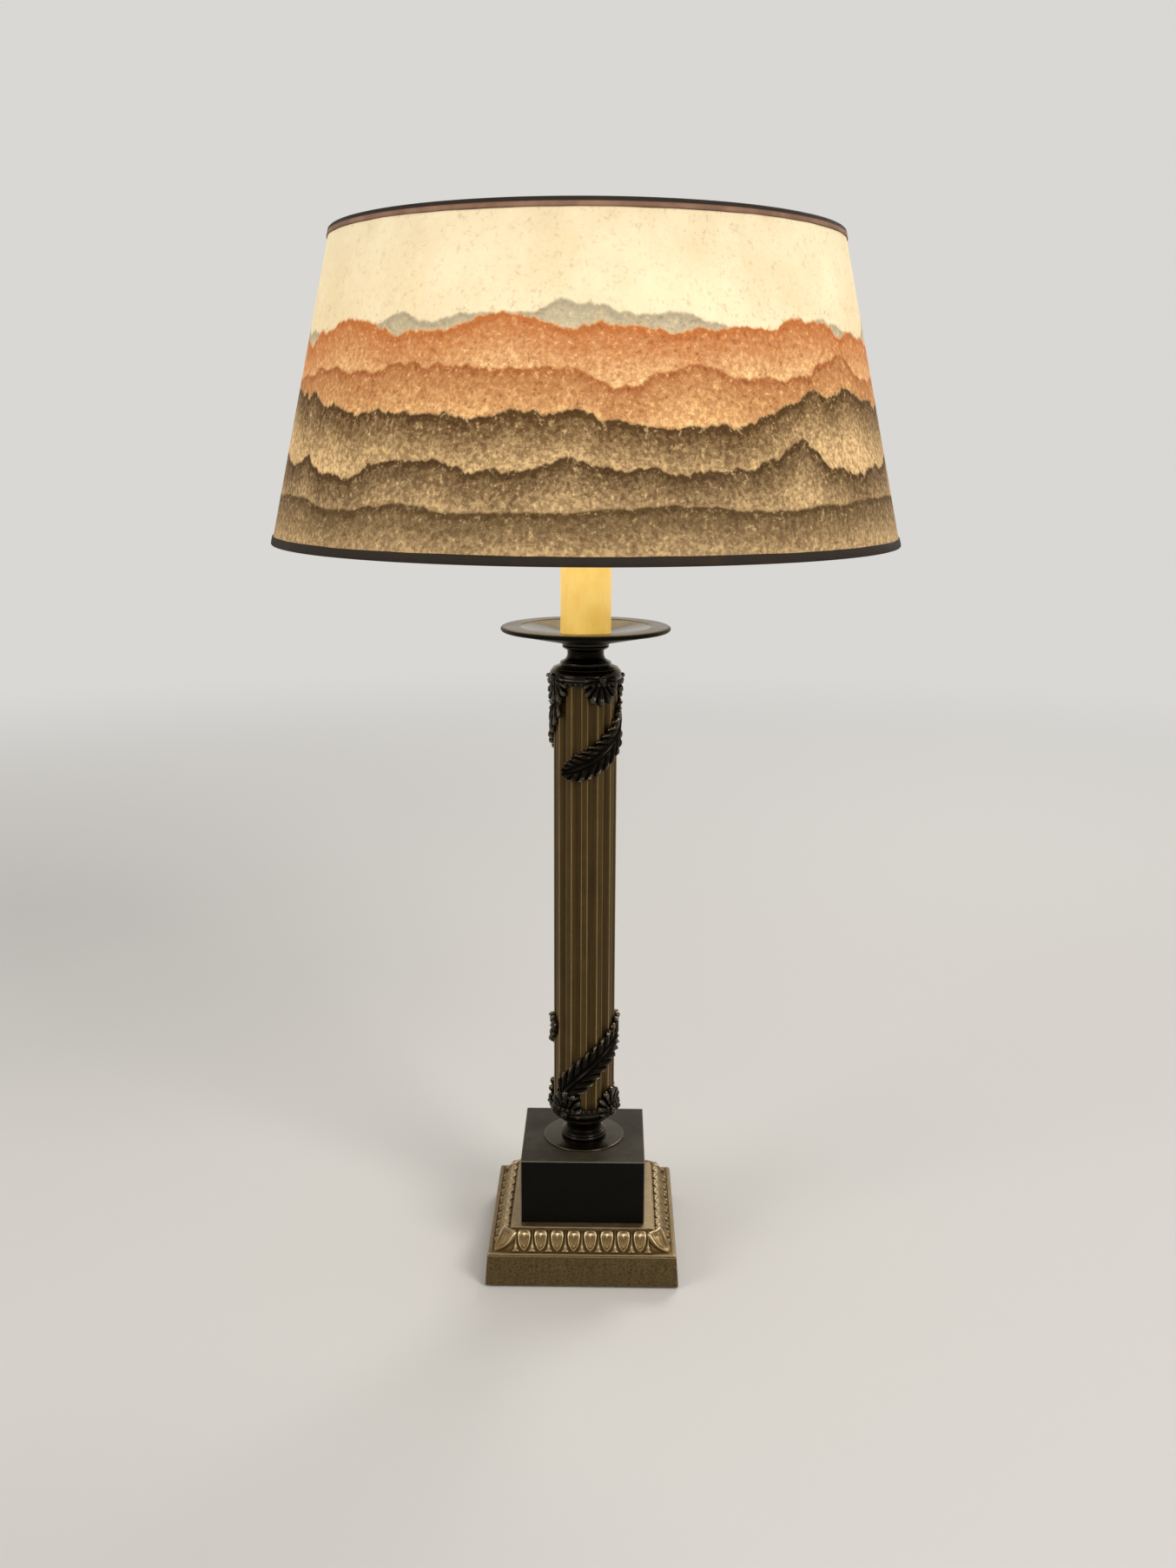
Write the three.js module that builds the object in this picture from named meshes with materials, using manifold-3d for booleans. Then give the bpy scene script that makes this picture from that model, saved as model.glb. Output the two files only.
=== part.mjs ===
// Column lamp: a fluted column with cast leaf mounts on a square gilt base, a candle sleeve on a drip pan,
// and a tapered drum shade carried by a harp. Millimetres, +Z up, front towards -Y, origin under the foot.
import * as THREE from 'three';
import { mergeVertices } from 'three/addons/utils/BufferGeometryUtils.js';
import Module from 'manifold-3d';

const wasm = await Module();
wasm.setup();

// Clearances
const seatGap = 0.1; // joint line between two stacked faces
const fitGap = 0.3; // round clearance of anything that passes through or turns in a hole
const finialGap = 0.5; // the finial stops just short of the spider, so that each turns by itself
const drillPass = 1; // a drill stands this far out of each face that it cuts

// Felt pad and plinth
const feltThickness = 1.5;
const feltInset = 2.5;
const plinthWidth = 147;
const plinthHeight = 24.4;
const plinthWall = 6;
const plinthDeck = 4;
const plinthChamfer = 0.8;
const bushingBore = 8;
const bushingWall = 2;
const bushingFlangeReach = 2.2;
const bushingFlangeThickness = 1.5;
const bushingTail = 2;
const bushingRise = 12;

// Leaf-and-dart moulding between the plinth and the block
const mouldingRise = 15;
const mouldingWall = 4;
const mouldingPlate = 4;
const lipHeight = 1.4;
const lipWidth = 3.2;
const ledgeWidth = 7;
const ledgeNose = 1.5;
const ledgeHeight = 2;
const tonguePitch = 12.9;
const tongueWidth = 11.2;
const tongueLength = 15.6;
const tongueRelief = 2.3;
const cornerTongueWidth = 13.5;
const cornerTongueLength = 19.9;
const cornerRoom = 22;
const dartWidth = 3.4;
const dartLength = 8;
const tonguePlace = 0.5; // share of the slope
const dartPlace = 0.25; // share of the slope

// Pedestal block and what it hides
const blockWidth = 97;
const blockHeight = 52;
const blockWall = 3;
const blockChamfer = 0.8;
const ballastDiameter = 84;
const ballastHeight = 30;
const discDiameter = 64;
const discThickness = 1.3;

// Threaded centre pipe that clamps the stack, with its nut and washer
const pipeDiameter = 10.3;
const pipeBore = 7;
const pipeStub = 3;
const pipeEntry = 8;
const washerDiameter = 30;
const washerThickness = 1.6;
const nutWidth = 17;
const nutHeight = 5;

// Collars: a ring, a hollow neck and a small step, the same piece at both ends of the column
const collarHeight = 16.5;
const collarRingDiameter = 36;
const collarRingHeight = 6.2;
const collarRingBead = 1.2;
const collarFillet = 1;
const collarNeckDiameter = 27.4;
const collarStepDiameter = 38.6;
const collarStepHeight = 1;

// Leaf mounts: a cup, four palmettes and two leaves that wind up the column, one casting used twice
const cupFloor = 3.4;
const cupStepHeight = 1.3;
const cupShoulderHeight = 9.4;
const cupRimHeight = 2.8;
const cupSwellLean = 1.5;
const cupSwellStart = 4;
const cupSwellEnd = 5;
const cupWall = 3.2;
const spigotWall = 3;
const spigotHeight = 6;
const leafBack = 0.5;
const layerStep = 0.2; // leaves, then palmettes, stand this much further out than the cup's bore
const leafBaseAzimuth = -33;
const leafLead = 12;
const leafSweep = 170;
const leafRootHeight = 39.5;
const leafClimb = 57.5;
const leafEasing = 1.6;
const leafHalfWidth = 11;
const leafRootWidth = 0.6; // share of the full width
const leafFullWidthAt = 0.35; // share of the length
const leafTipFrom = 0.72; // share of the length
const leafTipSharpness = 0.98;
const leafEdgeThickness = 1.3;
const leafCrown = 2.3;
const leafLobes = 8;
const leafLobeDepth = 0.2;
const leafLobeRelief = 0.4;
const palmetteCount = 4;
const palmetteRootHeight = 26;
const palmetteReach = 20;
const palmetteSideReach = 0.76; // share of the reach
const palmetteLobeDepth = 0.08; // share of the reach
const palmetteEye = 1.5;
const palmetteSpread = 70;
const palmettePetals = 7;
const palmetteThickness = 2.1;
const palmetteRelief = 1.1;
const mountFlipAzimuth = 42.5;

// Fluted column
const shaftDiameter = 48;
const shaftLength = 360.5;
const shaftBore = 36;
const fluteCount = 12;
const filletAngle = 12;
const fluteDepth = 2;

// Drip pan and candle sleeve
const panDiameter = 127.4;
const panHeight = 11;
const panFootDiameter = 52;
const panRimWidth = 14.5;
const panRimThickness = 2.8;
const panWellDrop = 2.6;
const panFloor = 5.5;
const panRimDip = 0.3;
const panWellSlope = 1;
const panSeatMargin = 1;
const sleeveDiameter = 38;
const sleeveWall = 1.2;
const sleeveLength = 81;
const capThickness = 1.6;
const capSpigot = 3;
const capSpigotWall = 2;

// Harp, saddle and ferrules
const saddleThickness = 2.4;
const saddleWidth = 12;
const saddleBend = 5;
const saddleShoulder = 12;
const saddlePostHeight = 8;
const saddlePostWidth = 3;
const saddlePostRoot = 1;
const harpLegSpacing = 60;
const harpWire = 4.4;
const harpHeight = 178;
const harpWidth = 114;
const harpLegStraight = 24;
const harpBellyHeight = 105;
const harpArchFullness = 2 / 3;
const harpBossDiameter = 12.4;
const harpBossHeight = 5;
const ferruleHeight = 14;
const ferruleWall = 1.4;
const studShankDiameter = 5.2;
const studShoulderDiameter = 15;
const studShoulderHeight = 2;
const studHeadDiameter = 7.6;
const studHeadHeight = 1.2;
const studThread = 6.35;
const studThreadLength = 15;
const studChamfer = 0.7;

// Turn-knob socket and bulb
const socketDiameter = 33;
const socketWall = 0.8;
const socketCapHeight = 16;
const socketHubDiameter = 16;
const socketHubHeight = 4;
const socketShellHeight = 38;
const linerWall = 0.6;
const linerInset = 1;
const bodyHeight = 17;
const bodyDrop = 2.5;
const screwShellWall = 0.5;
const screwShellHeight = 22;
const switchRise = 11;
const switchShaftDiameter = 4.4;
const switchShaftDepth = 6;
const switchHole = 6.6;
const knobStandoff = 2.5;
const knobLength = 14;
const knobDiameter = 13;
const knobNeckDiameter = 8.4;
const knobFlat = 8.6;
const knobShaftReach = 7;
const bulbBaseHeight = 27;
const bulbContactDiameter = 9;
const bulbContactHeight = 1.5;
const bulbInsulatorHeight = 5;
const bulbThreadFoot = 6;
const bulbBaseCrimp = 2;
const bulbEdge = 1;
const bulbDiameter = 60;
const bulbLength = 110;
const bulbNeckDepth = 6;
const bulbNeckDiameter = 23;
const bulbFlareRise = 3;
const bulbNeckHandle = 14;
const bulbCheekHandle = 18;
const bulbWall = 1;
const bulbBaseRim = 0.8;
const bulbThreadGap = 0.5;

// Tapered drum shade on a three-armed spider
const shadeBottomDiameter = 457.2;
const shadeTopDiameter = 362;
const shadeHeight = 214.5;
const shadeDrop = 20;
const panelThickness = 1.2;
const trimHeight = 6.2;
const trimThickness = 0.7;
const trimReturn = 2.2;
const ringWire = 3.4;
const spiderArms = 3;
const spiderWire = 3.6;
const spiderFirstAzimuth = 60;
const spiderWasherDiameter = 28;
const spiderWasherThickness = 1.5;
const spiderRise = 30;
const spiderTail = 8;
const spiderTension = 0.2;
const spiderArmSink = 0.1; // the arms' tops lie this far under the washer's top face

// Finial
const finialHeight = 25;
const finialDiameter = 15;
const finialFootDiameter = 13;
const finialFootHeight = 2;
const finialWaistDiameter = 9.4;
const finialSwell = 1.25;
const finialThreadRoom = 0.8;

// Facet counts
const roundSides = 18;
const smallSides = 14;
const panSides = 26;
const shadeSides = 36;
const wireSides = 6;
const tongueSides = 6;
const dartSides = 3;
const curveSteps = 3;
const coarseSteps = 2;
const harpSteps = 30;
const spiderSteps = 6;
const fluteSteps = 4;
const rimSteps = 4;
const weldTolerance = 1e-4;
const smallestDetail = 0.06; // shorter edges of a joined casting are merged
const circleHandle = 0.5523; // handle of a quarter circle, per radius

const finishes = {
  felt: { color: 0x1d2b22, roughness: 1, metalness: 0 },
  antiqueGilt: { color: 0x8c6c40, roughness: 0.45, metalness: 0.8 },
  darkGilt: { color: 0x5a4526, roughness: 0.5, metalness: 0.6 },
  blackBronze: { color: 0x1e1712, roughness: 0.35, metalness: 0.6 },
  satinBlack: { color: 0x15120f, roughness: 0.4, metalness: 0.1 },
  castIron: { color: 0x3a3836, roughness: 0.8, metalness: 0.6 },
  steel: { color: 0x9a9a98, roughness: 0.35, metalness: 1 },
  brass: { color: 0xb08d4a, roughness: 0.3, metalness: 1 },
  cream: { color: 0xe8cf94, roughness: 0.6, metalness: 0 },
  paper: { color: 0xc08a5c, roughness: 0.8, metalness: 0 },
  trim: { color: 0x3a2c24, roughness: 0.8, metalness: 0 },
  phenolic: { color: 0x201a17, roughness: 0.5, metalness: 0 },
  fibre: { color: 0x6d5a44, roughness: 0.9, metalness: 0 },
  frostedGlass: { color: 0xf4ead2, roughness: 0.3, metalness: 0 },
};

// Sizes that follow from the ones above
const pipeHole = pipeDiameter / 2 + fitGap;
const plinthHalf = plinthWidth / 2;
const blockHalf = blockWidth / 2;
const ledgeHalf = blockHalf + ledgeWidth;
const shaftRadius = shaftDiameter / 2;
const cupBore = shaftRadius + leafBack;
const cupRadius = cupBore + cupWall;
const cupHeight = cupFloor + cupShoulderHeight + cupRimHeight - cupStepHeight;
const mountFoot = collarHeight + seatGap;
const shaftFoot = mountFoot + cupFloor + seatGap;
const columnHeight = 2 * shaftFoot + shaftLength;
const legHalf = harpLegSpacing / 2;
const socketRadius = socketDiameter / 2;
const linerRadius = socketRadius - socketWall - fitGap;
const bodyRadius = linerRadius - linerWall - fitGap;
const bulbBaseRadius = bodyRadius - screwShellWall - bulbThreadGap;

// Heights of the stacked groups above the surface that the lamp stands on
const plinthFoot = feltThickness + seatGap;
const mouldingFoot = plinthFoot + plinthHeight + seatGap;
const blockFoot = mouldingFoot + mouldingRise + seatGap;
const discFoot = blockFoot + blockHeight + seatGap;
const columnFoot = discFoot + discThickness + seatGap;
const candleFoot = columnFoot + columnHeight + seatGap;
const sleeveFoot = candleFoot + panFloor + seatGap;
const capFoot = sleeveFoot + sleeveLength + seatGap;
const lightFoot = capFoot + capThickness + seatGap;
const spiderFoot = lightFoot + harpHeight + seatGap;
const shadeFoot = spiderFoot + spiderWasherThickness + shadeDrop - shadeHeight;
const finialFoot = spiderFoot + spiderWasherThickness + finialGap;

function piece(name, geometry, finish) {
  const mesh = new THREE.Mesh(geometry, new THREE.MeshStandardMaterial(finish));
  mesh.name = name;
  return mesh;
}

function assembly(height, meshes) {
  const group = new THREE.Group();
  group.position.z = height;
  group.add(...meshes);
  return group;
}

// A point at a radius and a height, at an azimuth in degrees from the front (-Y) towards +X.
function around(azimuth, radius, height = 0) {
  const angle = THREE.MathUtils.degToRad(azimuth);
  return new THREE.Vector3(radius * Math.sin(angle), -radius * Math.cos(angle), height);
}

// A turned piece about Z. The profile holds (radius, height) points, and is set to run with its faces out.
function revolve(profile, sides, firstAngle = 0) {
  const points = profile.map(([radius, height]) => new THREE.Vector2(radius, height));
  if (THREE.ShapeUtils.area(points) < 0) points.reverse();
  const onAxis = points[0].x === 0 && points.at(-1).x === 0;
  if (!onAxis) points.push(points[0].clone());
  const geometry = new THREE.LatheGeometry(points, sides, firstAngle);
  return geometry.rotateX(Math.PI / 2);
}

// A square piece with mitred corners: the profile's radius is the half width of a side.
function squareTurn(profile) {
  const corners = profile.map(([half, height]) => [half * Math.SQRT2, height]);
  return revolve(corners, 4, Math.PI / 4);
}

// The points of an outline, with each of its curves cut into steps.
function drawn(draw, steps = curveSteps) {
  const path = new THREE.Path();
  draw(path);
  return path.getPoints(steps).map((point) => [point.x, point.y]);
}

// A round bead that stands out by a depth, drawn straight up or down from the last point to a new height.
function bead(path, depth, height) {
  const { x, y } = path.currentPoint;
  const handle = x + (4 / 3) * depth;
  path.bezierCurveTo(handle, y, handle, height, x, height);
}

function tube(outerRadius, innerRadius, height, sides, foot = 0) {
  const top = foot + height;
  return revolve([[innerRadius, foot], [outerRadius, foot], [outerRadius, top], [innerRadius, top]], sides);
}

function rod(radius, height, sides, foot = 0) {
  return revolve([[0, foot], [radius, foot], [radius, foot + height], [0, foot + height]], sides);
}

function circlePoints(radius, sides) {
  return Array.from({ length: sides }, (_, k) => {
    const point = around((360 * k) / sides, radius);
    return new THREE.Vector2(point.x, point.y);
  });
}

// A round wire along a curve.
function wire(curve, diameter, steps) {
  const section = new THREE.Shape(circlePoints(diameter / 2, wireSides));
  return new THREE.ExtrudeGeometry(section, { extrudePath: curve, steps, bevelEnabled: false });
}

function solidOf(geometry) {
  const bare = geometry.index ? geometry.toNonIndexed() : geometry.clone();
  bare.deleteAttribute('normal');
  bare.deleteAttribute('uv');
  const welded = mergeVertices(bare, weldTolerance);
  const vertProperties = welded.attributes.position.array;
  const triVerts = new Uint32Array(welded.index.array);
  return new wasm.Manifold(new wasm.Mesh({ numProp: 3, vertProperties, triVerts }));
}

function geometryOf(solid) {
  const mesh = solid.getMesh();
  const geometry = new THREE.BufferGeometry();
  geometry.setAttribute('position', new THREE.BufferAttribute(mesh.vertProperties, 3));
  geometry.setIndex(new THREE.BufferAttribute(mesh.triVerts, 1));
  geometry.computeVertexNormals();
  return geometry;
}

function joined(first, others) {
  const whole = others.reduce((rest, other) => rest.add(solidOf(other)), solidOf(first));
  return geometryOf(whole.simplify(smallestDetail));
}

function pierced(blank, tools) {
  return geometryOf(tools.reduce((rest, tool) => rest.subtract(solidOf(tool)), solidOf(blank)));
}

// A hole for the centre pipe, cut through anything up to the given height.
function pipeDrill(height) {
  return rod(pipeHole, height + 2 * drillPass, smallSides, -drillPass);
}

// A closed skin between a front and a back grid of points, each a function of two shares from 0 to 1.
function slab(alongSteps, acrossSteps, front, back) {
  const positions = [];
  for (const face of [front, back]) {
    for (let i = 0; i <= alongSteps; i += 1) {
      for (let j = 0; j <= acrossSteps; j += 1) {
        positions.push(...face(i / alongSteps, j / acrossSteps).toArray());
      }
    }
  }
  const row = acrossSteps + 1;
  const backStart = row * (alongSteps + 1);
  const index = [];
  const quad = (a, b, c, d) => index.push(a, b, c, a, c, d);
  for (let i = 0; i < alongSteps; i += 1) {
    for (let j = 0; j < acrossSteps; j += 1) {
      const a = i * row + j;
      quad(a + 1, a + row + 1, a + row, a);
      quad(backStart + a + row, backStart + a + row + 1, backStart + a + 1, backStart + a);
    }
  }
  const rim = [];
  for (let j = 0; j < acrossSteps; j += 1) rim.push(j);
  for (let i = 0; i < alongSteps; i += 1) rim.push(i * row + acrossSteps);
  for (let j = acrossSteps; j > 0; j -= 1) rim.push(alongSteps * row + j);
  for (let i = alongSteps; i > 0; i -= 1) rim.push(i * row);
  rim.forEach((a, k) => {
    const b = rim[(k + 1) % rim.length];
    quad(b, a, backStart + a, backStart + b);
  });
  const geometry = new THREE.BufferGeometry();
  geometry.setAttribute('position', new THREE.Float32BufferAttribute(positions, 3));
  geometry.setIndex(index);
  return geometry;
}

function feltPad() {
  const side = plinthWidth - 2 * feltInset;
  return new THREE.BoxGeometry(side, side, feltThickness).translate(0, 0, feltThickness / 2);
}

function basePlinth() {
  const inside = plinthHalf - plinthWall;
  const deckFoot = plinthHeight - plinthDeck;
  const blank = squareTurn([
    [0, deckFoot],
    [inside, deckFoot],
    [inside, 0],
    [plinthHalf, 0],
    [plinthHalf, plinthHeight - plinthChamfer],
    [plinthHalf - plinthChamfer, plinthHeight],
    [0, plinthHeight],
  ]);
  const cordHole = rod(bushingBore / 2 + bushingWall + fitGap, 2 * plinthWall, smallSides);
  cordHole.rotateX(-Math.PI / 2).translate(0, inside - plinthWall / 2, bushingRise);
  return pierced(blank, [pipeDrill(plinthHeight), cordHole]);
}

function cordBushing() {
  const bore = bushingBore / 2;
  const body = bore + bushingWall;
  const flange = body + bushingFlangeReach;
  const outside = bushingTail + plinthWall + fitGap;
  const end = outside + bushingFlangeThickness;
  const sleeve = [[bore, 0], [body, 0], [body, outside]];
  return revolve([...sleeve, [flange, outside], [flange, end], [bore, end]], smallSides);
}

// The slope that the leaves of the moulding lie on, from the lip up to the ledge.
const slopeFoot = new THREE.Vector2(plinthHalf - plinthChamfer - lipWidth, lipHeight);
const slopeHead = new THREE.Vector2(ledgeHalf + ledgeNose, mouldingRise - ledgeHeight);

function mouldingFrame() {
  const outer = plinthHalf - plinthChamfer;
  const plateFoot = mouldingRise - mouldingPlate;
  const bend = (slopeFoot.x - slopeHead.x) / 2;
  const profile = drawn((path) => {
    path.moveTo(0, plateFoot);
    path.lineTo(ledgeHalf - mouldingWall, plateFoot);
    path.lineTo(slopeFoot.x - mouldingWall, 0);
    path.lineTo(outer, 0);
    path.lineTo(outer, lipHeight);
    path.lineTo(slopeFoot.x, slopeFoot.y);
    const handles = [slopeFoot.x - bend, slopeFoot.y, slopeHead.x + bend, slopeHead.y];
    path.bezierCurveTo(...handles, slopeHead.x, slopeHead.y);
    path.lineTo(ledgeHalf, slopeHead.y);
    path.lineTo(ledgeHalf, mouldingRise);
    path.lineTo(0, mouldingRise);
  }, coarseSteps);
  return squareTurn(profile);
}

// Lays a form whose long axis is Y on the moulding's slope, on the side that faces the azimuth.
function onSlope(geometry, azimuth, sideways, share, stretch) {
  const run = (slopeFoot.x - slopeHead.x) * stretch;
  const rise = slopeHead.y - slopeFoot.y;
  const side = new THREE.Vector3(1, 0, 0);
  const uphill = new THREE.Vector3(0, run, rise).normalize();
  const facing = new THREE.Vector3().crossVectors(side, uphill);
  const place = new THREE.Matrix4().makeBasis(side, uphill, facing);
  const spot = slopeFoot.clone().lerp(slopeHead, share);
  place.setPosition(sideways, -spot.x * stretch, spot.y);
  return geometry.applyMatrix4(place).rotateZ(THREE.MathUtils.degToRad(azimuth));
}

// A leaf of the moulding: broad and rounded at its head, drawn to a point at its foot.
function tongue(width, length) {
  const profile = drawn((path) => {
    path.moveTo(0, -length / 2);
    path.bezierCurveTo(width / 4, -length / 3, width / 2, -length / 8, width / 2, length / 6);
    path.quadraticCurveTo(width / 2, length / 2, 0, length / 2);
  }, coarseSteps);
  return revolve(profile, tongueSides).rotateX(-Math.PI / 2).scale(1, 1, (2 * tongueRelief) / width);
}

function dart() {
  return new THREE.ConeGeometry(dartWidth / 2, dartLength, dartSides);
}

function leafMoulding() {
  const leafLine = (slopeFoot.x + slopeHead.x) / 2;
  const sideTongues = Math.max(1, Math.floor((2 * leafLine - cornerRoom) / tonguePitch));
  const ornaments = [];
  for (let side = 0; side < 4; side += 1) {
    for (let k = 0; k < sideTongues; k += 1) {
      const sideways = (k - (sideTongues - 1) / 2) * tonguePitch;
      ornaments.push(onSlope(tongue(tongueWidth, tongueLength), 90 * side, sideways, tonguePlace, 1));
    }
    for (let k = 0; k <= sideTongues; k += 1) {
      const sideways = (k - sideTongues / 2) * tonguePitch;
      ornaments.push(onSlope(dart(), 90 * side, sideways, dartPlace, 1));
    }
    const cornerTongue = tongue(cornerTongueWidth, cornerTongueLength);
    ornaments.push(onSlope(cornerTongue, 90 * side + 45, 0, tonguePlace, Math.SQRT2));
  }
  const carved = solidOf(joined(mouldingFrame(), ornaments));
  return geometryOf(carved.subtract(solidOf(pipeDrill(mouldingRise))));
}

function pedestalBlock() {
  const inside = blockHalf - blockWall;
  const blank = squareTurn([
    [0, blockHeight - blockWall],
    [inside, blockHeight - blockWall],
    [inside, 0],
    [blockHalf, 0],
    [blockHalf, blockHeight - blockChamfer],
    [blockHalf - blockChamfer, blockHeight],
    [0, blockHeight],
  ]);
  return pierced(blank, [pipeDrill(blockHeight)]);
}

function pipeNut() {
  const hexagon = rod(nutWidth / Math.sqrt(3), nutHeight, 6);
  return pierced(hexagon, [pipeDrill(nutHeight)]);
}

function baseAssembly() {
  const deckFoot = plinthFoot + plinthHeight - plinthDeck;
  const plinth = piece('base_plinth', basePlinth(), finishes.darkGilt);
  plinth.position.z = plinthFoot;
  const bushing = piece('cord_bushing', cordBushing(), finishes.phenolic);
  bushing.rotation.x = -Math.PI / 2;
  bushing.position.set(0, plinthHalf - plinthWall - bushingTail, plinthFoot + bushingRise);
  const moulding = piece('leaf_moulding', leafMoulding(), finishes.antiqueGilt);
  moulding.position.z = mouldingFoot;
  const block = piece('pedestal_block', pedestalBlock(), finishes.satinBlack);
  block.position.z = blockFoot;
  const ballastShape = tube(ballastDiameter / 2, pipeHole, ballastHeight, smallSides);
  const ballast = piece('ballast_weight', ballastShape, finishes.castIron);
  ballast.position.z = blockFoot;
  const washerShape = tube(washerDiameter / 2, pipeHole, washerThickness, smallSides);
  const washer = piece('pipe_washer', washerShape, finishes.steel);
  washer.position.z = deckFoot - seatGap - washerThickness;
  const nut = piece('pipe_nut', pipeNut(), finishes.steel);
  nut.position.z = washer.position.z - seatGap - nutHeight;
  const discShape = tube(discDiameter / 2, pipeHole, discThickness, roundSides);
  const disc = piece('seat_disc', discShape, finishes.blackBronze);
  disc.position.z = discFoot;
  const pad = piece('felt_pad', feltPad(), finishes.felt);
  return assembly(0, [pad, plinth, bushing, moulding, block, ballast, washer, nut, disc]);
}

function collar() {
  const ring = collarRingDiameter / 2;
  const neck = collarNeckDiameter / 2;
  const step = collarStepDiameter / 2;
  const ringTop = collarRingHeight;
  const neckTop = collarHeight - collarStepHeight;
  const neckMiddle = (ringTop + neckTop) / 2;
  const waist = ring - collarRingBead;
  const profile = drawn((path) => {
    path.moveTo(pipeHole, 0);
    path.lineTo(waist, 0);
    bead(path, collarRingBead, ringTop - collarFillet);
    path.lineTo(waist, ringTop);
    path.bezierCurveTo(neck, ringTop, neck, ringTop, neck, neckMiddle);
    path.bezierCurveTo(neck, neckTop, neck, neckTop, step - collarFillet, neckTop);
    path.lineTo(step, neckTop);
    path.lineTo(step, collarHeight);
    path.lineTo(pipeHole, collarHeight);
  }, coarseSteps);
  return revolve(profile, roundSides);
}

function mountCup() {
  const shoulderTop = cupFloor + cupShoulderHeight - cupStepHeight;
  const spigot = shaftBore / 2 - fitGap;
  const step = collarStepDiameter / 2;
  const profile = drawn((path) => {
    path.moveTo(pipeHole, 0);
    path.lineTo(step, 0);
    path.lineTo(step, cupStepHeight);
    const swellFoot = [step + cupSwellLean, cupStepHeight + cupSwellStart];
    path.bezierCurveTo(...swellFoot, cupRadius, shoulderTop - cupSwellEnd, cupRadius, shoulderTop);
    path.lineTo(cupRadius, cupHeight);
    path.lineTo(cupBore, cupHeight);
    path.lineTo(cupBore, cupFloor);
    path.lineTo(spigot, cupFloor);
    path.lineTo(spigot, cupFloor + spigotHeight);
    path.lineTo(spigot - spigotWall, cupFloor + spigotHeight);
    path.lineTo(spigot - spigotWall, cupFloor);
    path.lineTo(pipeHole, cupFloor);
  });
  return revolve(profile, roundSides);
}

// A palmette: petals that fan out over the column from a root inside the cup's wall.
function palmette(azimuth) {
  const rootHeight = palmetteRootHeight - mountFoot;
  const spot = (outward, sweep, radius) => {
    const angle = THREE.MathUtils.degToRad((sweep - 0.5) * 2 * palmetteSpread);
    const petal = Math.abs(Math.sin(Math.PI * palmettePetals * sweep));
    const crown = (1 - palmetteSideReach - palmetteLobeDepth) * Math.cos(angle);
    const reach = palmetteReach * (palmetteSideReach + crown + palmetteLobeDepth * petal);
    const distance = THREE.MathUtils.lerp(palmetteEye, reach, outward);
    const turn = THREE.MathUtils.radToDeg((distance * Math.sin(angle)) / shaftRadius);
    return around(azimuth + turn, radius(outward, petal), rootHeight + distance * Math.cos(angle));
  };
  const back = () => cupBore + 2 * layerStep;
  const skin = (outward, petal) => cupBore + palmetteThickness + palmetteRelief * petal * outward;
  const front = (outward, sweep) => spot(outward, sweep, skin);
  return slab(coarseSteps, 2 * palmettePetals, front, (outward, sweep) => spot(outward, sweep, back));
}

// A leaf that leaves the cup beside its palmette and winds round the column as it climbs.
function windingLeaf(azimuth) {
  const arcLength = THREE.MathUtils.degToRad(leafSweep) * cupBore;
  const spot = (along, across, radius) => {
    const side = 1 - 2 * across;
    const climbed = leafClimb * (1 - (1 - along) ** leafEasing);
    const steepness = leafClimb * leafEasing * (1 - along) ** (leafEasing - 1);
    const slope = Math.atan2(steepness, arcLength);
    const opened = THREE.MathUtils.smoothstep(along, 0, leafFullWidthAt);
    const opening = THREE.MathUtils.lerp(leafRootWidth, 1, opened);
    const towardsTip = Math.max(0, (along - leafTipFrom) / (1 - leafTipFrom));
    const tip = Math.sqrt(1 - leafTipSharpness * towardsTip ** 2);
    const lobe = Math.abs(Math.sin(Math.PI * leafLobes * along));
    const scallop = 1 - leafLobeDepth * (1 - lobe) * Math.abs(side);
    const offset = side * leafHalfWidth * opening * tip * scallop;
    const turn = THREE.MathUtils.radToDeg((offset * Math.sin(slope)) / cupBore);
    const height = leafRootHeight - mountFoot + climbed + offset * Math.cos(slope);
    return around(azimuth - leafLead + leafSweep * along - turn, radius(side, lobe), height);
  };
  const back = () => cupBore + layerStep;
  const skin = (side, lobe) => {
    const crown = leafCrown * (1 - side * side);
    return cupBore + leafEdgeThickness + crown + leafLobeRelief * lobe * Math.abs(side);
  };
  const front = (along, across) => spot(along, across, skin);
  return slab(2 * leafLobes, coarseSteps, front, (along, across) => spot(along, across, back));
}

function leafMount() {
  const growths = [];
  for (let k = 0; k < palmetteCount; k += 1) {
    growths.push(palmette(leafBaseAzimuth + (360 * k) / palmetteCount));
  }
  for (let k = 0; k < 2; k += 1) growths.push(windingLeaf(leafBaseAzimuth + 180 * k));
  return joined(mountCup(), growths);
}

function columnShaft() {
  const pitch = 360 / fluteCount;
  const halfFillet = filletAngle / 2;
  const edgeRadius = shaftRadius * Math.cos(THREE.MathUtils.degToRad(pitch / 2 - halfFillet));
  const outline = new THREE.Shape();
  const start = around(-halfFillet, shaftRadius);
  outline.moveTo(start.x, start.y);
  for (let k = 0; k < fluteCount; k += 1) {
    const filletEnd = around(k * pitch + halfFillet, shaftRadius);
    const bed = around((k + 0.5) * pitch, edgeRadius - 2 * fluteDepth);
    const nextFillet = around((k + 1) * pitch - halfFillet, shaftRadius);
    outline.lineTo(filletEnd.x, filletEnd.y);
    outline.quadraticCurveTo(bed.x, bed.y, nextFillet.x, nextFillet.y);
  }
  outline.holes.push(new THREE.Path(circlePoints(shaftBore / 2, roundSides)));
  const extrusion = { depth: shaftLength, bevelEnabled: false, curveSegments: fluteSteps };
  return new THREE.ExtrudeGeometry(outline, extrusion);
}

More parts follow.
